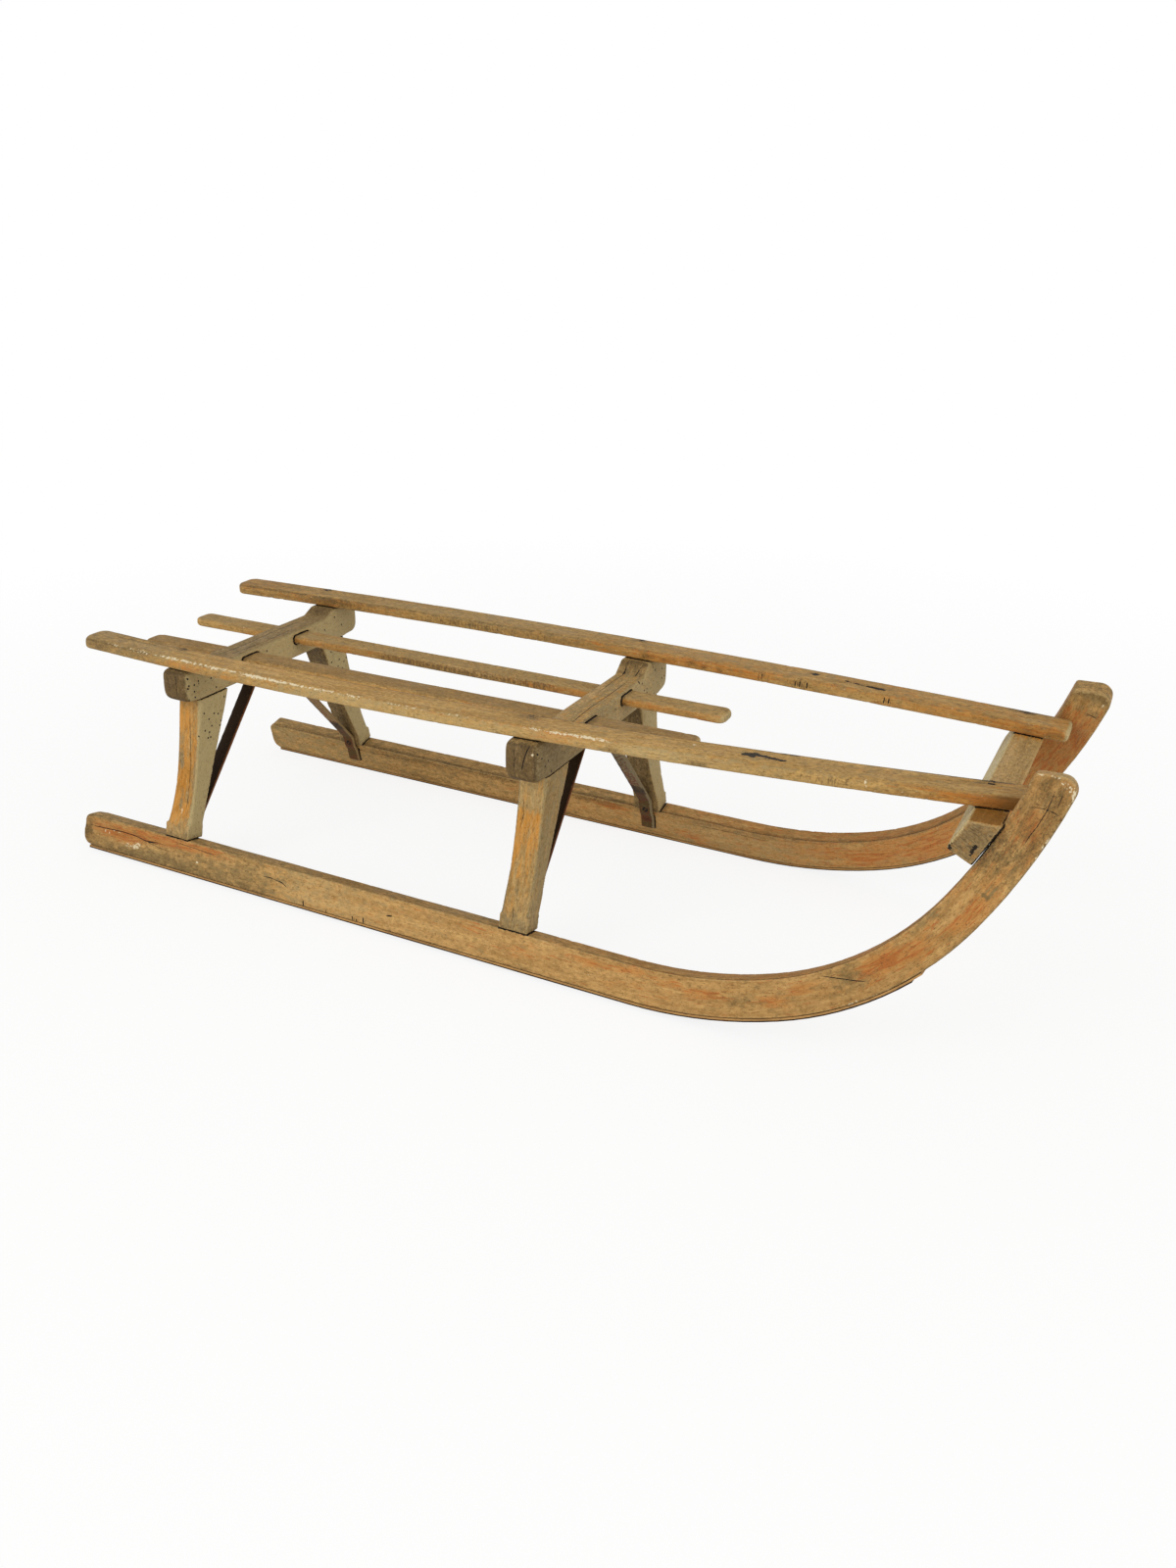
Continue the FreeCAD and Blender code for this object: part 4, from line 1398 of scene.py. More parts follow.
@dataclass
class Slats:
    """The four seat slats: places run from the sled's tail, outward from the slat's middle, up."""

    voxel: float = 1.3
    inner_voxel: float = 1.56
    half_width: float = 16.65
    thickness: float = 12.0
    seat_height: float = 219.5 + FLOOR_LIFT
    climb: float = 4.9 / 408.5
    roll: float = math.tan(math.radians(0.75))
    inner_offset: float = 43.0
    inner_turn: float = math.atan2(-2.5, 408.5)

    def screw_stains(self, side: int) -> tuple[Stain, ...]:
        """Iron stain round the three screws.

        Args:
            side: 1 for the left side, -1 for the right.

        Returns:
            The stains, in the piece's grain frame.
        """
        return tuple(Stain(tint, level, (station, SCREW_OFFSETS[side], self.thickness), reach)
                     for tint, level, reach in ((BLACK, 0.55, (6.5, 4.8, 3.0)),
                                                (DIRT, 0.5, (15.0, 6.0, 3.0)))
                     for station in SCREW_STATIONS)

    def right_marks(self) -> tuple[Mark, ...]:
        """Stains of the right outer slat, with its worn white line and its burn.

        Returns:
            The stains, in the piece's grain frame.
        """
        top, near = self.thickness, self.half_width
        white = tuple(
            Stain(WHITE, level, (along, near - 2.4, top - 1.2), (half, 2.5, 2.5))
            for along, half, level in (
                (45, 16, 0.36), (85, 26, 0.46), (122, 14, 0.55), (150, 24, 0.66), (190, 26, 0.74),
                (235, 26, 0.78), (275, 28, 0.7), (320, 26, 0.6), (360, 22, 0.5), (410, 26, 0.42),
                (470, 30, 0.36), (548, 12, 0.6), (572, 14, 0.7), (600, 18, 0.78), (618, 8, 0.55)))
        return (
            Course(GREY, (0, 80, 120, 200, 300, 400, 600, 1000),
                   (0.6, 0.58, 0.4, 0.3, 0.12, 0.3, 0.32, 0.4), UPPER),
            Course(DIRT, (0, 80, 120), (0.24, 0.22, 0.0), UPPER),
            Course(BROWN, (0, 90, 130, 700, 850, 900), (0.2, 0.14, 0.0, 0.0, 0.12, 0.12), UPPER),
            Course(ORANGE, (0, 150, 350, 600, 900, 1000), (0.1, 0.25, 0.26, 0.22, 0.25, 0.5),
                   UPPER),
            Course(ORANGE, (0, 100, 240, 300, 520, 600, 640, 820, 880, 930, 1000),
                   (0.05, 0.3, 0.25, 0.02, 0.25, 0.45, 0.0, 0.05, 0.45, 0.95, 0.95), PLUS),
            Course(PALE, (0, 90, 120, 250, 300, 500, 560, 620, 640, 720, 840, 900),
                   (0.1, 0.1, 0.0, 0.1, 0.35, 0.3, 0.3, 0.3, 0.5, 0.3, 0.1, 0.0), PLUS),
            Course(GREY, (0, 90, 120, 180, 300, 400, 500, 560, 620, 1000),
                   (0.58, 0.54, 0.28, 0.36, 0.36, 0.22, 0.12, -0.05, 0.15, 0.2), PLUS),
            Course(DIRT, (0, 90, 120, 780, 870, 1000), (0.3, 0.25, 0.0, 0.1, 0.2, 0.05), PLUS),
            Course(BROWN, (0, 90, 120, 180, 240, 560, 700, 840, 925, 945, 975),
                   (0.3, 0.24, 0.0, 0.12, 0.0, 0.0, 0.08, 0.1, 0.2, 0.7, 1.15), PLUS),
            Course(BROWN, (930, 950, 975), (0.0, 0.15, 0.45), UPPER),
            Course(BROWN, (-5, 4, 10), (0.5, 0.5, 0.0), TAIL),
            # a dark line along the top's inner arris, beside the inner slat: partly dirt, partly
            # painted shade
            Stain(DIRT, 1.05, (520.0, -15.2, top), (620.0, 3.2, 3.2)),
            Stain(BROWN, 0.8, (520.0, -15.2, top), (620.0, 3.6, 3.6)),
            Course(ORANGE, (0, 1000), (0.25, 0.35), MINUS),
            Course(GREY, (0, 1000), (0.4, 0.3), MINUS),
            Wash(DIRT, 0.5, LOWER),
        ) + white + spots(ORANGE, PLUS, near, (
            (150, 6, 26, 5, 0.45), (205, 5, 24, 4, 0.3), (562, 7, 26, 5, 0.4),
            (920, 8, 24, 4, 0.4), (955, 6, 26, 6, 0.45),
        )) + spots(DIRT, PLUS, near, (
            (20, 5, 16, 6, 0.35), (330, 5, 30, 5, 0.25), (625, 4, 14, 5, 0.5),
            (700, 3, 15, 5, 0.55), (760, 3, 20, 5, 0.25), (880, 4, 30, 5, 0.2),
        )) + spots(SAWN, PLUS, near, (
            (815, 6, 34, 7, 0.55), (430, 6, 60, 6, 0.25),
        )) + spots(WHITE, PLUS, near, (
            (842, 8, 1.8, 5, 0.6),
        )) + spots(BLACK, UPPER, top, (
            (737, 0.4, 4.5, 3.8, 1.15), (744, -2.0, 6.5, 4.2, 1.25), (744, 3.4, 4.0, 2.4, 1.0),
            (753, -0.6, 5.5, 2.8, 1.1), (761, 1.4, 5.5, 3.0, 1.1), (769, 2.6, 5.5, 2.6, 1.1),
            (755, -14.0, 6.0, 2.8, 1.25), (766, -13.2, 4.0, 2.4, 1.05),
            (776, -12.6, 5.0, 2.4, 1.1),
        )) + spots(WHITE, UPPER, top, (
            (692, -4, 9, 1.8, 0.5),
        )) + spots(DIRT, UPPER, top, (
            (915, -14.5, 60, 4.2, 1.0), (100, -8, 30, 6, 0.35), (530, -4, 34, 8, 0.35),
            (785, -6, 22, 5, 0.3), (640, -8, 60, 6, 0.2),
        )) + self.screw_stains(-1)

    def left_marks(self) -> tuple[Mark, ...]:
        """Stains of the left outer slat.

        Returns:
            The stains, in the piece's grain frame.
        """
        top, inner = self.thickness, -self.half_width
        return (
            Course(GREY, (0, 60, 300, 500, 1000), (0.42, 0.5, 0.56, 0.48, 0.34), UPPER),
            Course(DIRT, (0, 60, 120, 1000), (0.4, 0.36, 0.2, 0.16), UPPER),
            Course(BROWN, (0, 60, 120, 1000), (0.28, 0.22, 0.12, 0.12), UPPER),
            Course(DIRT, (0, 100, 200, 300, 900, 1000), (0.25, 0.4, 0.4, 0.15, 0.1, 0.3), MINUS),
            Course(PALE, (0, 960, 966), (0.0, 0.0, 1.2), HEAD),
            Course(BROWN, (0, 300, 440, 860, 930, 1000), (0.1, 0.16, 0.16, 0.06, 0.2, 0.3), MINUS),
            Course(ORANGE, (0, 100, 200, 400, 500, 700, 1000),
                   (0.6, 0.42, 0.28, 0.18, 0.34, 0.42, 0.5), UPPER),
            Course(ORANGE, (0, 90, 220, 300, 450, 540, 680, 720, 880, 1000),
                   (0.2, 0.55, 0.45, 0.2, 0.3, 0.7, 0.7, 0.3, 0.5, 0.95), MINUS),
            Course(GREY, (0, 200, 400, 540, 700, 1000), (0.3, 0.25, 0.4, 0.15, 0.2, 0.15), MINUS),
            Course(ORANGE, (0, 1000), (0.3, 0.35), PLUS),
            Course(GREY, (0, 1000), (0.4, 0.3), PLUS),
            Wash(DIRT, 0.5, LOWER),
        ) + spots(SAWN, MINUS, inner, (
            (300, 6, 50, 8, 0.6), (360, 6, 40, 8, 0.6), (434, 6, 40, 8, 0.45),
            (682, 6, 14, 8, 0.75), (722, 6, 16, 8, 0.75), (795, 6, 40, 8, 0.4),
            (200, 6, 30, 6, 0.35),
        )) + spots(DIRT, MINUS, inner, (
            (150, 7, 34, 6, 0.35), (552, 5, 10, 5, 0.55), (575, 6, 14, 4, 0.35),
            (602, 6, 8, 4, 0.6), (618, 5, 6, 4, 0.5), (634, 5, 5, 3, 0.45), (970, 4, 20, 4, 0.3),
        )) + spots(BLACK, UPPER, top, (
            (731, 2.5, 4.5, 3.6, 1.5), (798, -4.4, 7, 3.4, 1.4), (789, -3.2, 6, 2.4, 1.15),
            # the last spot in this row is a dark line along the top's outer arris: partly dirt,
            # partly painted shade
            (774, -1.0, 6, 1.6, 0.8), (764, 0.5, 3, 2.4, 0.95), (900, 16, 110, 1.6, 0.5),
        )) + spots(DIRT, UPPER, top, (
            (731, 4, 10, 4, 0.4), (940, 12, 30, 4, 0.5), (785, -3, 26, 4, 0.3),
            # a dark line along the top's outer arris: partly dirt, partly painted shade
            (870, 15.2, 160, 3.2, 1.25), (400, 15.4, 400, 2.4, 0.6),
        )) + self.screw_stains(1)

    def inner_marks(self, side: int) -> tuple[Mark, ...]:
        """Stains of an inner slat.

        Args:
            side: 1 for the left side, -1 for the right.

        Returns:
            The stains, in the piece's grain frame.
        """
        return (
            Wash(GREY, 0.58, UPPER),
            Wash(BROWN, 0.42 if side < 0 else 0.16, UPPER),
            Course(ORANGE, (0, 100, 700), (0.15, 0.2, 0.22), UPPER),
            Course(BROWN, (0, 150, 250, 400, 520, 700), (0.1, 0.15, 0.4, 0.4, 0.12, 0.12), MINUS),
            Course(PALE, (0, 655, 662), (0.0, 0.0, 0.9), HEAD),
            Course(ORANGE, (0, 150, 250, 300, 390, 430, 700),
                   (0.2, 0.55, 0.5, 0.15, 0.2, 0.55, 0.5), MINUS),
            Course(ORANGE, (0, 700), (0.35, 0.4), PLUS),
            Course(SAWN, (0, 255, 280, 470, 500, 700), (0, 0, 0.8, 0.8, 0, 0), MINUS),
            Course(DIRT, (0, 100, 112, 150, 160, 520, 526, 560, 566, 650, 668),
                   (0.1, 0.1, 0.6, 0.6, 0.08, 0.08, 0.6, 0.6, 0.08, 0.08, 0.3)),
            Wash(DIRT, 0.4, LOWER),
        )

    def make(self) -> None:
        """Make the outer and the inner slats."""
        right = cracks(
            UPPER,
            (0.45, (756, -13.6), (766, -13.0), (778, -12.4)),
            (0.3, (905, -6), (925, -7), (950, -5)),
            (0.3, (20, -4), (60, -6), (95, -5)))
        left = cracks(
            UPPER,
            (0.4, (759, -8.3), (766, 1.0), (773, -1.5), (781, -2.6), (789, -4.4), (800, -4.0)),
            (0.3, (860, -2), (910, -4), (950, -2))
        ) + cracks(MINUS, *((width, (at, 2.5), (at + 0.6, 9.5)) for at, width in (
            (716, 0.6), (720.5, 0.7), (728, 0.8), (680, 0.5), (806, 0.6), (810.5, 0.7))))
        worn_arris = Rounding((500.0, self.half_width, self.thickness), (2000.0, 7.0, 7.0), 16)
        for (side, name), seed, marks, splits, roundings in zip(
                SIDES, (21, 22), (self.right_marks(), self.left_marks()), (right, left),
                ((worn_arris,), ())):
            grain = BowedGrain(side, self.seat_height, self.climb, self.roll)
            WornPiece("slat_outer_" + name, "slat_wood", SEAT_ASH, grain, self.voxel, seed,
                      marks, splits, roundings, end_grain=0.2).make()
        for (side, name), seed in zip(SIDES, (23, 24)):
            node = "slat_inner_" + name
            turn = side * self.inner_turn
            grain = StraightGrain(
                (TAIL_X, side * self.inner_offset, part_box(node)[0][2] / MM),
                (math.cos(turn), math.sin(turn), 0), (0, side, 0), (0, 0, 1))
            WornPiece(node, "slat_wood", SEAT_ASH, grain, self.inner_voxel, seed,
                      self.inner_marks(side),
                      touching=("crossbar_rear", "crossbar_front")).make()


@dataclass
class Crossbars:
    """The two morticed crossbars: places run to the left, forward and up."""

    voxel: float = 1.25
    half_length: float = 149.5
    shoulder_heights: dict[str, float] = field(
        default_factory=lambda: {"rear": 36.0, "front": 43.0})
    # how much paler each crossbar's front face is: partly dry bare wood, partly painted light that
    # makes the rear crossbar brighter
    pale_and_lit: dict[str, float] = field(default_factory=lambda: {"rear": 0.62, "front": 0.12})
    eaten: dict[str, tuple[float, ...]] = field(default_factory=lambda: {
        "rear": (0.5, 0.7, 0.6, 0.2, 0.2, 0.5, 0.1, 0.15, 0.15, 0.05, 0.3, 0.1, 0.1),
        "front": (0.1, 0.25, 0.2, 0.05, 0.15, 0.05, 0.0, 0.0, 0.05, 0.2, 0.2, 0.1, 0.1)})

    def marks(self, name: str) -> tuple[Mark, ...]:
        """Stains of one crossbar.

        Args:
            name: rear or front.

        Returns:
            The stains, in the piece's grain frame.
        """
        shared = (
            Course(GREY, (-160, -60, 60, 160), (0.66, 0.45, 0.4, 0.62), PLUS),
            Wash(GREY, 0.36, UPPER),
            Wash(GREY, 0.6, MINUS),
            Course(ORANGE, (-160, -90, 0, 90, 160), (0.0, 0.3, 0.35, 0.3, 0.0), UPPER),
            Course(DIRT, (-160, -120, -90, 90, 120, 160), (0.48, 0.4, 0.22, 0.22, 0.36, 0.48),
                   UPPER),
            Course(DIRT, (-160, -150, -135, 135, 150, 160), (0.35, 0.25, 0.1, 0.1, 0.25, 0.35)),
            Wash(DIRT, 0.5, TAIL), Wash(DIRT, 0.5, HEAD), Wash(DIRT, 0.4, LOWER),
            Wash(SAWN, 0.55, TAIL), Wash(SAWN, 0.45, HEAD),
            Course(WORM, (-150, -148, -128, -122, -115, -98, -92, -20, 20, 95, 110, 112, 150),
                   self.eaten[name], PLUS),
            *(Stain(DIRT, 0.35, (along, 0.0, self.shoulder_heights[name]), (14.0, 20.0, 7.0),
                    UPPER) for along in (-100.0, 100.0)),
            Wash(PALE, self.pale_and_lit[name], PLUS),
        )
        if name == "rear":
            return shared + (Wash(GREY, 0.34, UPPER), Wash(BROWN, 0.22, UPPER),
                             Wash(ORANGE, -0.2, UPPER))
        return shared + (
            Course(GREY, (-60, 60), (0.3, 0.0), PLUS),
            Course(DIRT, (-160, -60, 0), (0.22, 0.16, 0.0), PLUS),
            Course(PALE, (-40, 60, 160), (0.0, 0.35, 0.45), PLUS),
            Wash(PALE, 0.14, UPPER),
            Wash(DIRT, -0.14, TAIL),
            Stain(WHITE, 0.8, (-150.5, 12.0, 31.0), (3.0, 2.2, 1.6), TAIL),
            Stain(BLACK, 0.4, (-150.5, 7.0, 38.0), (3.0, 8.0, 5.0), TAIL),
        )

    def splits(self, name: str) -> tuple[Crack, ...]:
        """The cracks in the near end and on top of one crossbar.

        Args:
            name: rear or front.

        Returns:
            The cracks, in the piece's grain frame.
        """
        if name == "rear":
            return cracks(
                TAIL, (0.35, (3, 34), (4, 20), (3, 8)), (0.3, (-7, 30), (-6, 10))
            ) + cracks(
                UPPER, (0.45, (-80, -4), (-30, -2), (25, -5), (70, -3)),
                (0.35, (-70, 7), (-20, 9), (50, 8)))
        return cracks(
            TAIL, (0.6, (9.5, 40), (7.0, 33), (4.7, 26), (3.0, 19), (1.7, 12)),
            (0.35, (-6, 36), (-5, 24), (-6, 12))
        ) + cracks(
            UPPER, (0.45, (-92, 6), (-60, 7), (-20, 5), (30, 6), (80, 5)),
            (0.35, (20, -6), (60, -8), (100, -7)))

    def make(self) -> None:
        """Make both crossbars."""
        worn_ends = tuple(Rounding((along, 0.0, 18.0), (24.0, 90.0, 90.0), 48)
                          for along in (-self.half_length, self.half_length))
        slats = tuple("slat_" + row + "_" + side for row in ("outer", "inner")
                      for side in ("left", "right"))
        for (name, station), seed in zip(ENDS, (31, 32)):
            grain = StraightGrain((station, 0, UNDERSIDE), (0, 1, 0), (1, 0, 0), (0, 0, 1))
            legs = ("leg_" + name + "_left", "leg_" + name + "_right")
            WornPiece("crossbar_" + name, "frame_wood", FRAME_ASH, grain, self.voxel, seed,
                      self.marks(name), self.splits(name), worn_ends,
                      touching=slats + legs).make()


@dataclass
class FrontRail:
    """The rail between the runners: places run to the left, up its slope and square to it."""

    voxel: float = 1.5

    def marks(self, back: float) -> tuple[Mark, ...]:
        """Stains of the rail.

        Args:
            back: where the back face lies, in mm through the rail.

        Returns:
            The stains, in the piece's grain frame.
        """
        return (
            Course(ORANGE, (-140, -128, -118, -100, -60, 50, 70, 88, 110, 140),
                   (0.8, 1.2, 1.2, 0.6, 0.12, 0.16, 0.7, 1.0, 1.1, 0.6)),
            Course(BROWN, (-140, -128, -106, -90, 90, 110), (0.85, 0.85, 0.75, 0.1, 0.08, 0.2)),
            *(Stain(tint, level, (0.0, 32.0, back), (3000.0, 600.0, 1.3))
              for tint, level in ((PALE, 1.2), (WHITE, 0.28), (ORANGE, -1.3), (BROWN, -0.8))),
            Stain(BLACK, 0.7, (-130.0, 23.0, -12.5), (6.0, 6.5, 2.6), TAIL),
            Stain(BLACK, 0.55, (-130.0, 15.0, -14.0), (6.0, 6.0, 3.0), TAIL),
            Stain(BLACK, 0.7, (-130.0, 11.0, 3.0), (4.0, 9.0, 4.0)),
            # a black line at the near end, on the face that looks forward and down: painted shade
            # of the gap where the rail meets the runner
            Stain(BLACK, 1.2, (-130.0, 32.0, -19.9), (6.0, 60.0, 1.8)),
            Course(GREY, (-140, -90, 60, 140), (0.0, 0.18, 0.18, 0.0)),
            Wash(SAWN, 0.2, TAIL), Wash(GREY, 0.8, TAIL), Wash(BROWN, -0.75, TAIL),
            Wash(DIRT, 0.1, TAIL),
        )

    def make(self) -> None:
        """Make the rail."""
        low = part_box("front_rail")[0]
        cos, sin = math.cos(RAIL_SLOPE), math.sin(RAIL_SLOPE)
        grain = StraightGrain((low[0] / MM, 0.0, low[2] / MM), (0, 1, 0), (cos, 0, sin),
                              (-sin, 0, cos))
        back = grain.places(corners("front_rail"))[:, 2].max()
        WornPiece("front_rail", "frame_wood", FRAME_ASH, grain, self.voxel, 33, self.marks(back),
                  end_grain=0.3, touching=("runner_left", "runner_right", "slat_outer_left",
                                           "slat_outer_right")).make()


@dataclass
class Legs:
    """The four splayed legs: places run up from the runner, forward, and outward."""

    voxel: float = 1.3
    outer_face: float = 9.0
    foot: tuple[float, float] = (11.5, 38.0)
    head: tuple[float, float] = (28.0, 185.0)
    # how much paler each leg's front face is: partly dry bare wood, partly painted light that
    # makes the rear legs brighter
    pale_and_lit: dict[str, float] = field(default_factory=lambda: {
        "rear_right": 0.9, "rear_left": 0.9, "front_right": 0.2, "front_left": 0.65})

    def marks(self, name: str) -> tuple[Mark, ...]:
        """Stains of one leg.

        Args:
            name: the leg's end and side, such as rear_left.

        Returns:
            The stains, in the piece's grain frame.
        """
        outer = self.outer_face
        shared = (
            Wash(GREY, 0.55, PLUS),
            Wash(PALE, self.pale_and_lit[name], PLUS),
            Wash(GREY, 0.8, MINUS),
            Course(GREY, (0, 150), (0.45, 0.6), LOWER),
            Course(DIRT, (0, 150), (0.45, 0.6), LOWER),
            Course(DIRT, (0, 5, 12, 135, 150), (0.55, 0.3, 0.06, 0.06, 0.18)),
            Course(GREY, (0, 10, 24, 150), (0.4, 0.3, 0.05, 0.05), UPPER),
        )
        if name.startswith("rear"):
            return shared + (
                Course(ORANGE, (0, 15, 30, 130, 150), (0.1, 0.5, 0.62, 0.62, 0.4), UPPER),
                Stain(GREY, 0.6, (100.0, -10.0, 10.0), (45.0, 6.0, 8.0), UPPER),
                Stain(ORANGE, 0.5, (55.0, -7.0, 8.0), (50.0, 7.0, 9.0), UPPER),
                Stain(WHITE, 0.8, (60.0, -14.5, 8.0), (7.0, 2.4, 6.0)),
                *spots(WHITE, UPPER, outer, ((28, 2, 6, 2, 0.7),)),
                *spots(GREY, UPPER, outer, ((38, -2, 16, 3, 0.7), (84, -6, 14, 4, 0.7))),
                Course(WORM, (0, 100, 112, 140, 150), (0.0, 0.0, 0.35, 0.35, 0.1), PLUS),
                *spots(GREY, UPPER, outer, ((70, 11, 70, 4.5, 0.6),), 8.0),
            )
        return shared + (
            Course(ORANGE, (0, 30, 60, 110, 118, 150), (0.2, 0.38, 0.46, 0.7, 0.36, 0.3), UPPER),
            Course(GREY, (0, 45, 60, 112, 122, 150), (0.22, 0.12, 0.0, 0.0, 0.06, 0.06), UPPER),
            Course(PALE, (60, 80, 110, 125, 150), (0.0, 0.12, 0.12, 0.25, 0.25), UPPER),
            Stain(ORANGE, 0.4, (95.0, -9.0, 8.0), (30.0, 5.0, 8.0), UPPER),
            *spots(DIRT, UPPER, outer, ((45, 4, 18, 10, 0.25),), 8.0),
            *spots(BLACK, UPPER, outer, (
                (63.2, 7.3, 1.2, 1.2, 1.1), (102.9, -2.5, 1.0, 1.0, 0.9),
                (93.7, -4.0, 1.1, 1.1, 0.8), (48.5, 6.0, 1.3, 1.0, 0.7),
                (40.0, 8.0, 2.0, 0.9, 0.7)), 6.0),
        )

    def make(self) -> None:
        """Make all four legs."""
        splits = {
            "rear": cracks(UPPER, (0.35, (20, 7), (60, 5), (100, 3.5), (140, 1))),
            "front": cracks(UPPER, (0.3, (4, -2), (14, -1), (24, -3)),
                            (0.28, (96, -8), (110, -6), (126, -7))),
        }
        for seed, ((end, station), (side, name)) in enumerate(itertools.product(ENDS, SIDES), 41):
            foot, head = (leaned_point(station, *place, side) for place in (self.foot, self.head))
            line = head - foot
            grain = StraightGrain(tuple(foot), tuple(line), (1, 0, 0),
                                  (0, side * line.z, -side * line.y))
            leg = end + "_" + name
            WornPiece("leg_" + leg, "frame_wood", FRAME_ASH, grain, self.voxel, seed,
                      self.marks(leg), splits[end],
                      touching=("runner_" + name, "crossbar_" + end)).make()


@dataclass
class Ironwork:
    """The strap braces and the shod soles: places run to the left, forward and up."""

    voxel: float = 0.95
    front_edge: float = 8.5
    rear_edge: float = -7.5
    middle: float = 100.0
    whole: float = 400.0

    def marks(self, name: str) -> tuple[Mark, ...]:
        """Rust (orange), rubbed iron (grey), grime (dirt) and painted light of one strap.

        The grey and the orange along the front edges are a painted highlight, and the dark of
        the near half is partly grime, partly painted shade.

        Args:
            name: rear or front.

        Returns:
            The stains, in the piece's grain frame.
        """
        rubbed, rust = {
            "rear": ((0.0, 0.0, 0.45, 0.45, 0.0, 0.0), (0.0, 0.2, 0.5, 0.5, 0.1, 0.12, 0.12)),
            "front": ((0.0, 0.0, 0.38, 0.3, 0.05, 0.0), (0.0, 0.1, 0.25, 0.35, 0.0, 0.2, 0.18)),
        }[name]
        return (
            # the near half is dark: partly grime, partly painted shade of its downward face
            Course(DIRT, (-160, -10, 40, 108, 114, 122, 128, 160),
                   (1.0, 0.9, 0.1, 0.0, 0.7, 0.6, 0.3, 0.22)),
            Course(GREY, (-160, 20, 60, 108, 114, 160), rubbed),
            *(Stain(tint, level, (along, across, self.middle), (length, width, self.whole))
              for tint, level, along, across, length, width in (
                  # a painted highlight along the far strap's front edge
                  (GREY, 2.4, 90.0, self.front_edge, 90.0, 2.6),
                  (DIRT, 1.2, 75.0, self.rear_edge, 60.0, 2.4),
                  # the next two rows: a painted highlight along the near strap's front edge
                  (ORANGE, 0.9, -90.0, self.front_edge, 90.0, 1.6),
                  (DIRT, -0.7, -90.0, self.front_edge, 90.0, 1.6))),
            Course(ORANGE, (-160, 60, 80, 108, 114, 124, 160), rust),
            # the next three lines lighten the front edge faces: a painted highlight
            Course(GREY, (0, 30, 160), (0.0, 2.0, 1.4), PLUS),
            Course(ORANGE, (-160, 0, 60), (0.25, 0.25, 0.2), PLUS),
            Course(DIRT, (-160, 0, 60), (-0.15, -0.3, -0.6), PLUS),
        )

    def make(self) -> None:
        """Make the straps and dress the soles."""
        for (name, station), seed, finish in zip(ENDS, (51, 52),
                                                 (REAR_STRAP_IRON, FRONT_STRAP_IRON)):
            grain = StraightGrain((station, 0, 0), (0, 1, 0), (1, 0, 0), (0, 0, 1))
            WornPiece("brace_" + name, "strap_steel", finish, grain, self.voxel, seed,
                      self.marks(name), uneven=0.05, rub=0.1, chip=0.1, soften=2).make()
        for _, side in SIDES:
            for node, finish in (("sole_band_", SOLE_IRON), ("sole_strip_", STRIP_ASH)):
                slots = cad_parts[node + side].data.materials
                slots.clear()
                slots.append(finish.material())
                log.info("%s: dressed", node + side)


# The room and the camera

def seen(tree: bpy.types.NodeTree) -> bpy.types.NodeSocket:
    """Tell camera rays, mirrored rays and rays through glass from those that only light.

    Args:
        tree: the node tree to draw in.

    Returns:
        An output that is one for the rays that show the background.
    """
    path = add_node(tree, "LightPath").outputs
    both = add_node(tree, "Math", {0: path["Is Camera Ray"], 1: path["Is Glossy Ray"]},
                    operation="MAXIMUM").outputs[0]
    return add_node(tree, "Math", {0: both, 1: path["Is Transmission Ray"]},
                    operation="MAXIMUM").outputs[0]


@dataclass(frozen=True)
class PaperSweep(Finish):
    """Matt white paper under the sled, which fades to plain white away from it."""

    name: str = "matt_white_paper_sweep"
    paper: str = "f4f3f0"
    fade_start: float = 0.6
    fade_end: float = 1.6
    least_glow: float = 0.85

    def shade(self, tree: bpy.types.NodeTree) -> None:
        """Draw the paper, and its plain white for the rays that show it.

        Args:
            tree: the material's node tree.
        """
        place = add_node(tree, "NewGeometry").outputs["Position"]
        away = add_node(tree, "VectorMath", {0: place}, operation="LENGTH").outputs["Value"]
        fade = add_node(tree, "MapRange", {
            "Value": away, "From Min": self.fade_start, "From Max": self.fade_end,
            "To Min": self.least_glow, "To Max": 1.0}).outputs[0]
        share = add_node(tree, "Math", {0: fade, 1: seen(tree)}, operation="MULTIPLY").outputs[0]
        paper = add_node(tree, "BsdfDiffuse", {"Color": linear(self.paper)}).outputs[0]
        glow = add_node(tree, "Emission", {"Color": (1, 1, 1, 1), "Strength": 1.0}).outputs[0]
        mixed = add_node(tree, "MixShader", {0: share, 1: paper, 2: glow}).outputs[0]
        add_node(tree, "OutputMaterial", {0: mixed})


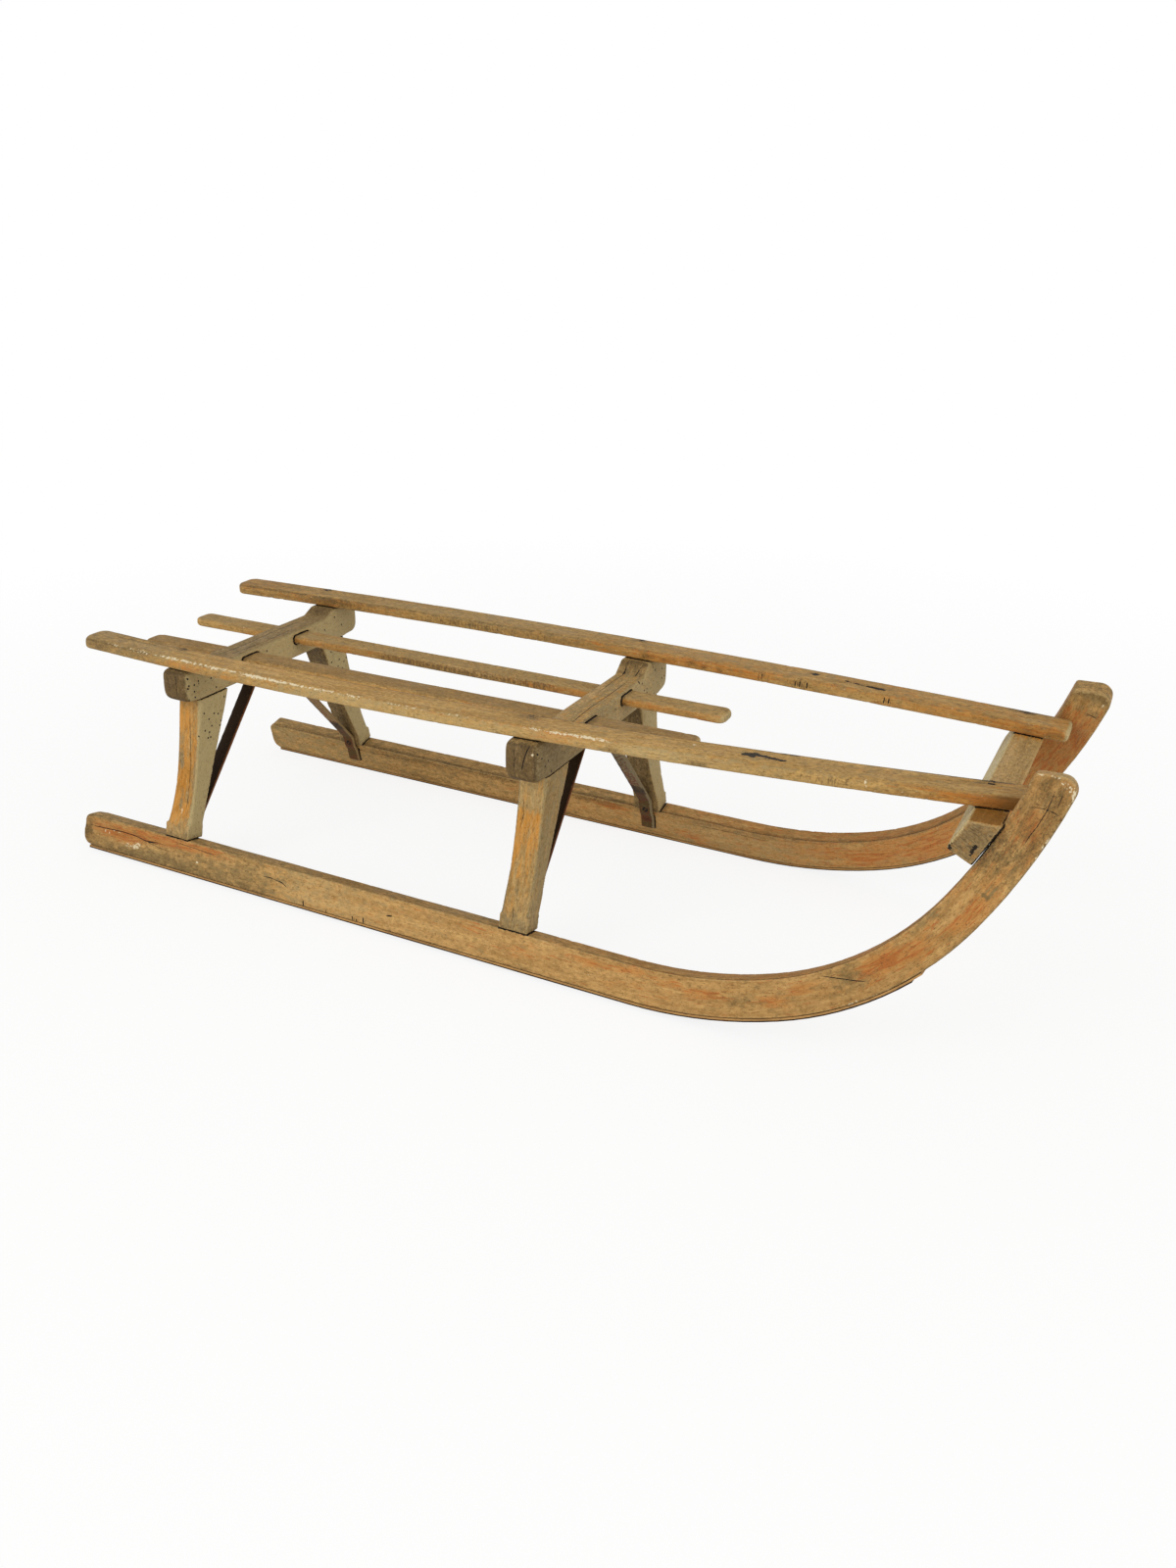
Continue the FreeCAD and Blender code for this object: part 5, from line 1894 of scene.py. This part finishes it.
@dataclass(frozen=True)
class Studio:
    """A white sweep with soft light, and the camera of the picture, in metres and degrees."""

    azimuth: float = 25.742
    elevation: float = 24.299
    roll: float = 1.223
    place: Row = (0.55379, -1.07242, 0.66340)
    focal_pixels: float = 1309.165
    picture_height: float = 1600.0
    sensor: float = 36.0
    clip: tuple[float, float] = (0.05, 100.0)
    sky: float = 0.62
    lamp_size: float = 2.2
    lamps: tuple[tuple[str, Row, float], ...] = (("key", (-0.9, -2.6, 1.9), 42.0),
                                                 ("fill", (2.6, -0.6, 1.6), 20.0))
    lit_point: Row = (0.0, 0.0, 0.1)
    floor_half: float = 14.0

    def camera(self) -> None:
        """Stand the camera where the picture was taken from."""
        turn, rise, roll = (math.radians(angle)
                            for angle in (self.azimuth, self.elevation, self.roll))
        back = Vector((math.sin(turn) * math.cos(rise), -math.cos(turn) * math.cos(rise),
                       math.sin(rise)))
        right = Vector((math.cos(turn), math.sin(turn), 0))
        up = back.cross(right)
        x_axis = right * math.cos(roll) + up * math.sin(roll)
        y_axis = up * math.cos(roll) - right * math.sin(roll)
        data = bpy.data.cameras.new("camera")
        data.sensor_width = self.sensor
        data.lens = self.focal_pixels * self.sensor / self.picture_height
        data.clip_start, data.clip_end = self.clip
        camera = bpy.data.objects.new("camera", data)
        turned = Matrix((x_axis, y_axis, back)).transposed().to_4x4()
        camera.matrix_world = Matrix.Translation(self.place) @ turned
        bpy.context.scene.collection.objects.link(camera)
        bpy.context.scene.camera = camera

    def light(self) -> None:
        """Hang the square soft lamps, which look at the sled."""
        for name, place, power in self.lamps:
            data = bpy.data.lights.new(name, "AREA")
            data.energy = power
            data.size = self.lamp_size
            lamp = bpy.data.objects.new(name, data)
            lamp.location = place
            lamp.rotation_mode = "QUATERNION"
            look = Vector(self.lit_point) - Vector(place)
            lamp.rotation_quaternion = look.to_track_quat("-Z", "Y")
            bpy.context.scene.collection.objects.link(lamp)

    def sweep(self) -> None:
        """Lay the white floor."""
        mesh = bmesh.new()
        bmesh.ops.create_grid(mesh, x_segments=2, y_segments=2, size=self.floor_half)
        data = bpy.data.meshes.new("floor")
        mesh.to_mesh(data)
        mesh.free()
        data.materials.append(PaperSweep().material())
        floor = bpy.data.objects.new("floor", data)
        bpy.context.scene.collection.objects.link(floor)

    def world(self) -> None:
        """Fill the room with even light, white where it is seen."""
        world = bpy.data.worlds.new("white_studio")
        world.use_nodes = True
        tree = world.node_tree
        tree.nodes.clear()
        strength = add_node(tree, "MapRange", {"Value": seen(tree), "To Min": self.sky,
                                               "To Max": 1.0})
        sky = add_node(tree, "Background", {"Color": (1, 1, 1, 1),
                                            "Strength": strength.outputs[0]})
        add_node(tree, "OutputWorld", {0: sky.outputs[0]})
        bpy.context.scene.world = world
        bpy.context.scene.view_settings.view_transform = "Standard"

    def build(self) -> None:
        """Set up the camera, the lamps, the floor and the room."""
        self.camera()
        self.light()
        self.sweep()
        self.world()


def main() -> None:
    """Build the studio and the sled, piece by piece."""
    logging.basicConfig(level=logging.INFO, format="%(message)s")
    Studio().build()
    for assembly in (Runners(), Slats(), Crossbars(), FrontRail(), Legs(), Ironwork(), Screws()):
        assembly.make()
        log.info("%s done", type(assembly).__name__)


if __name__ == "__main__":
    main()
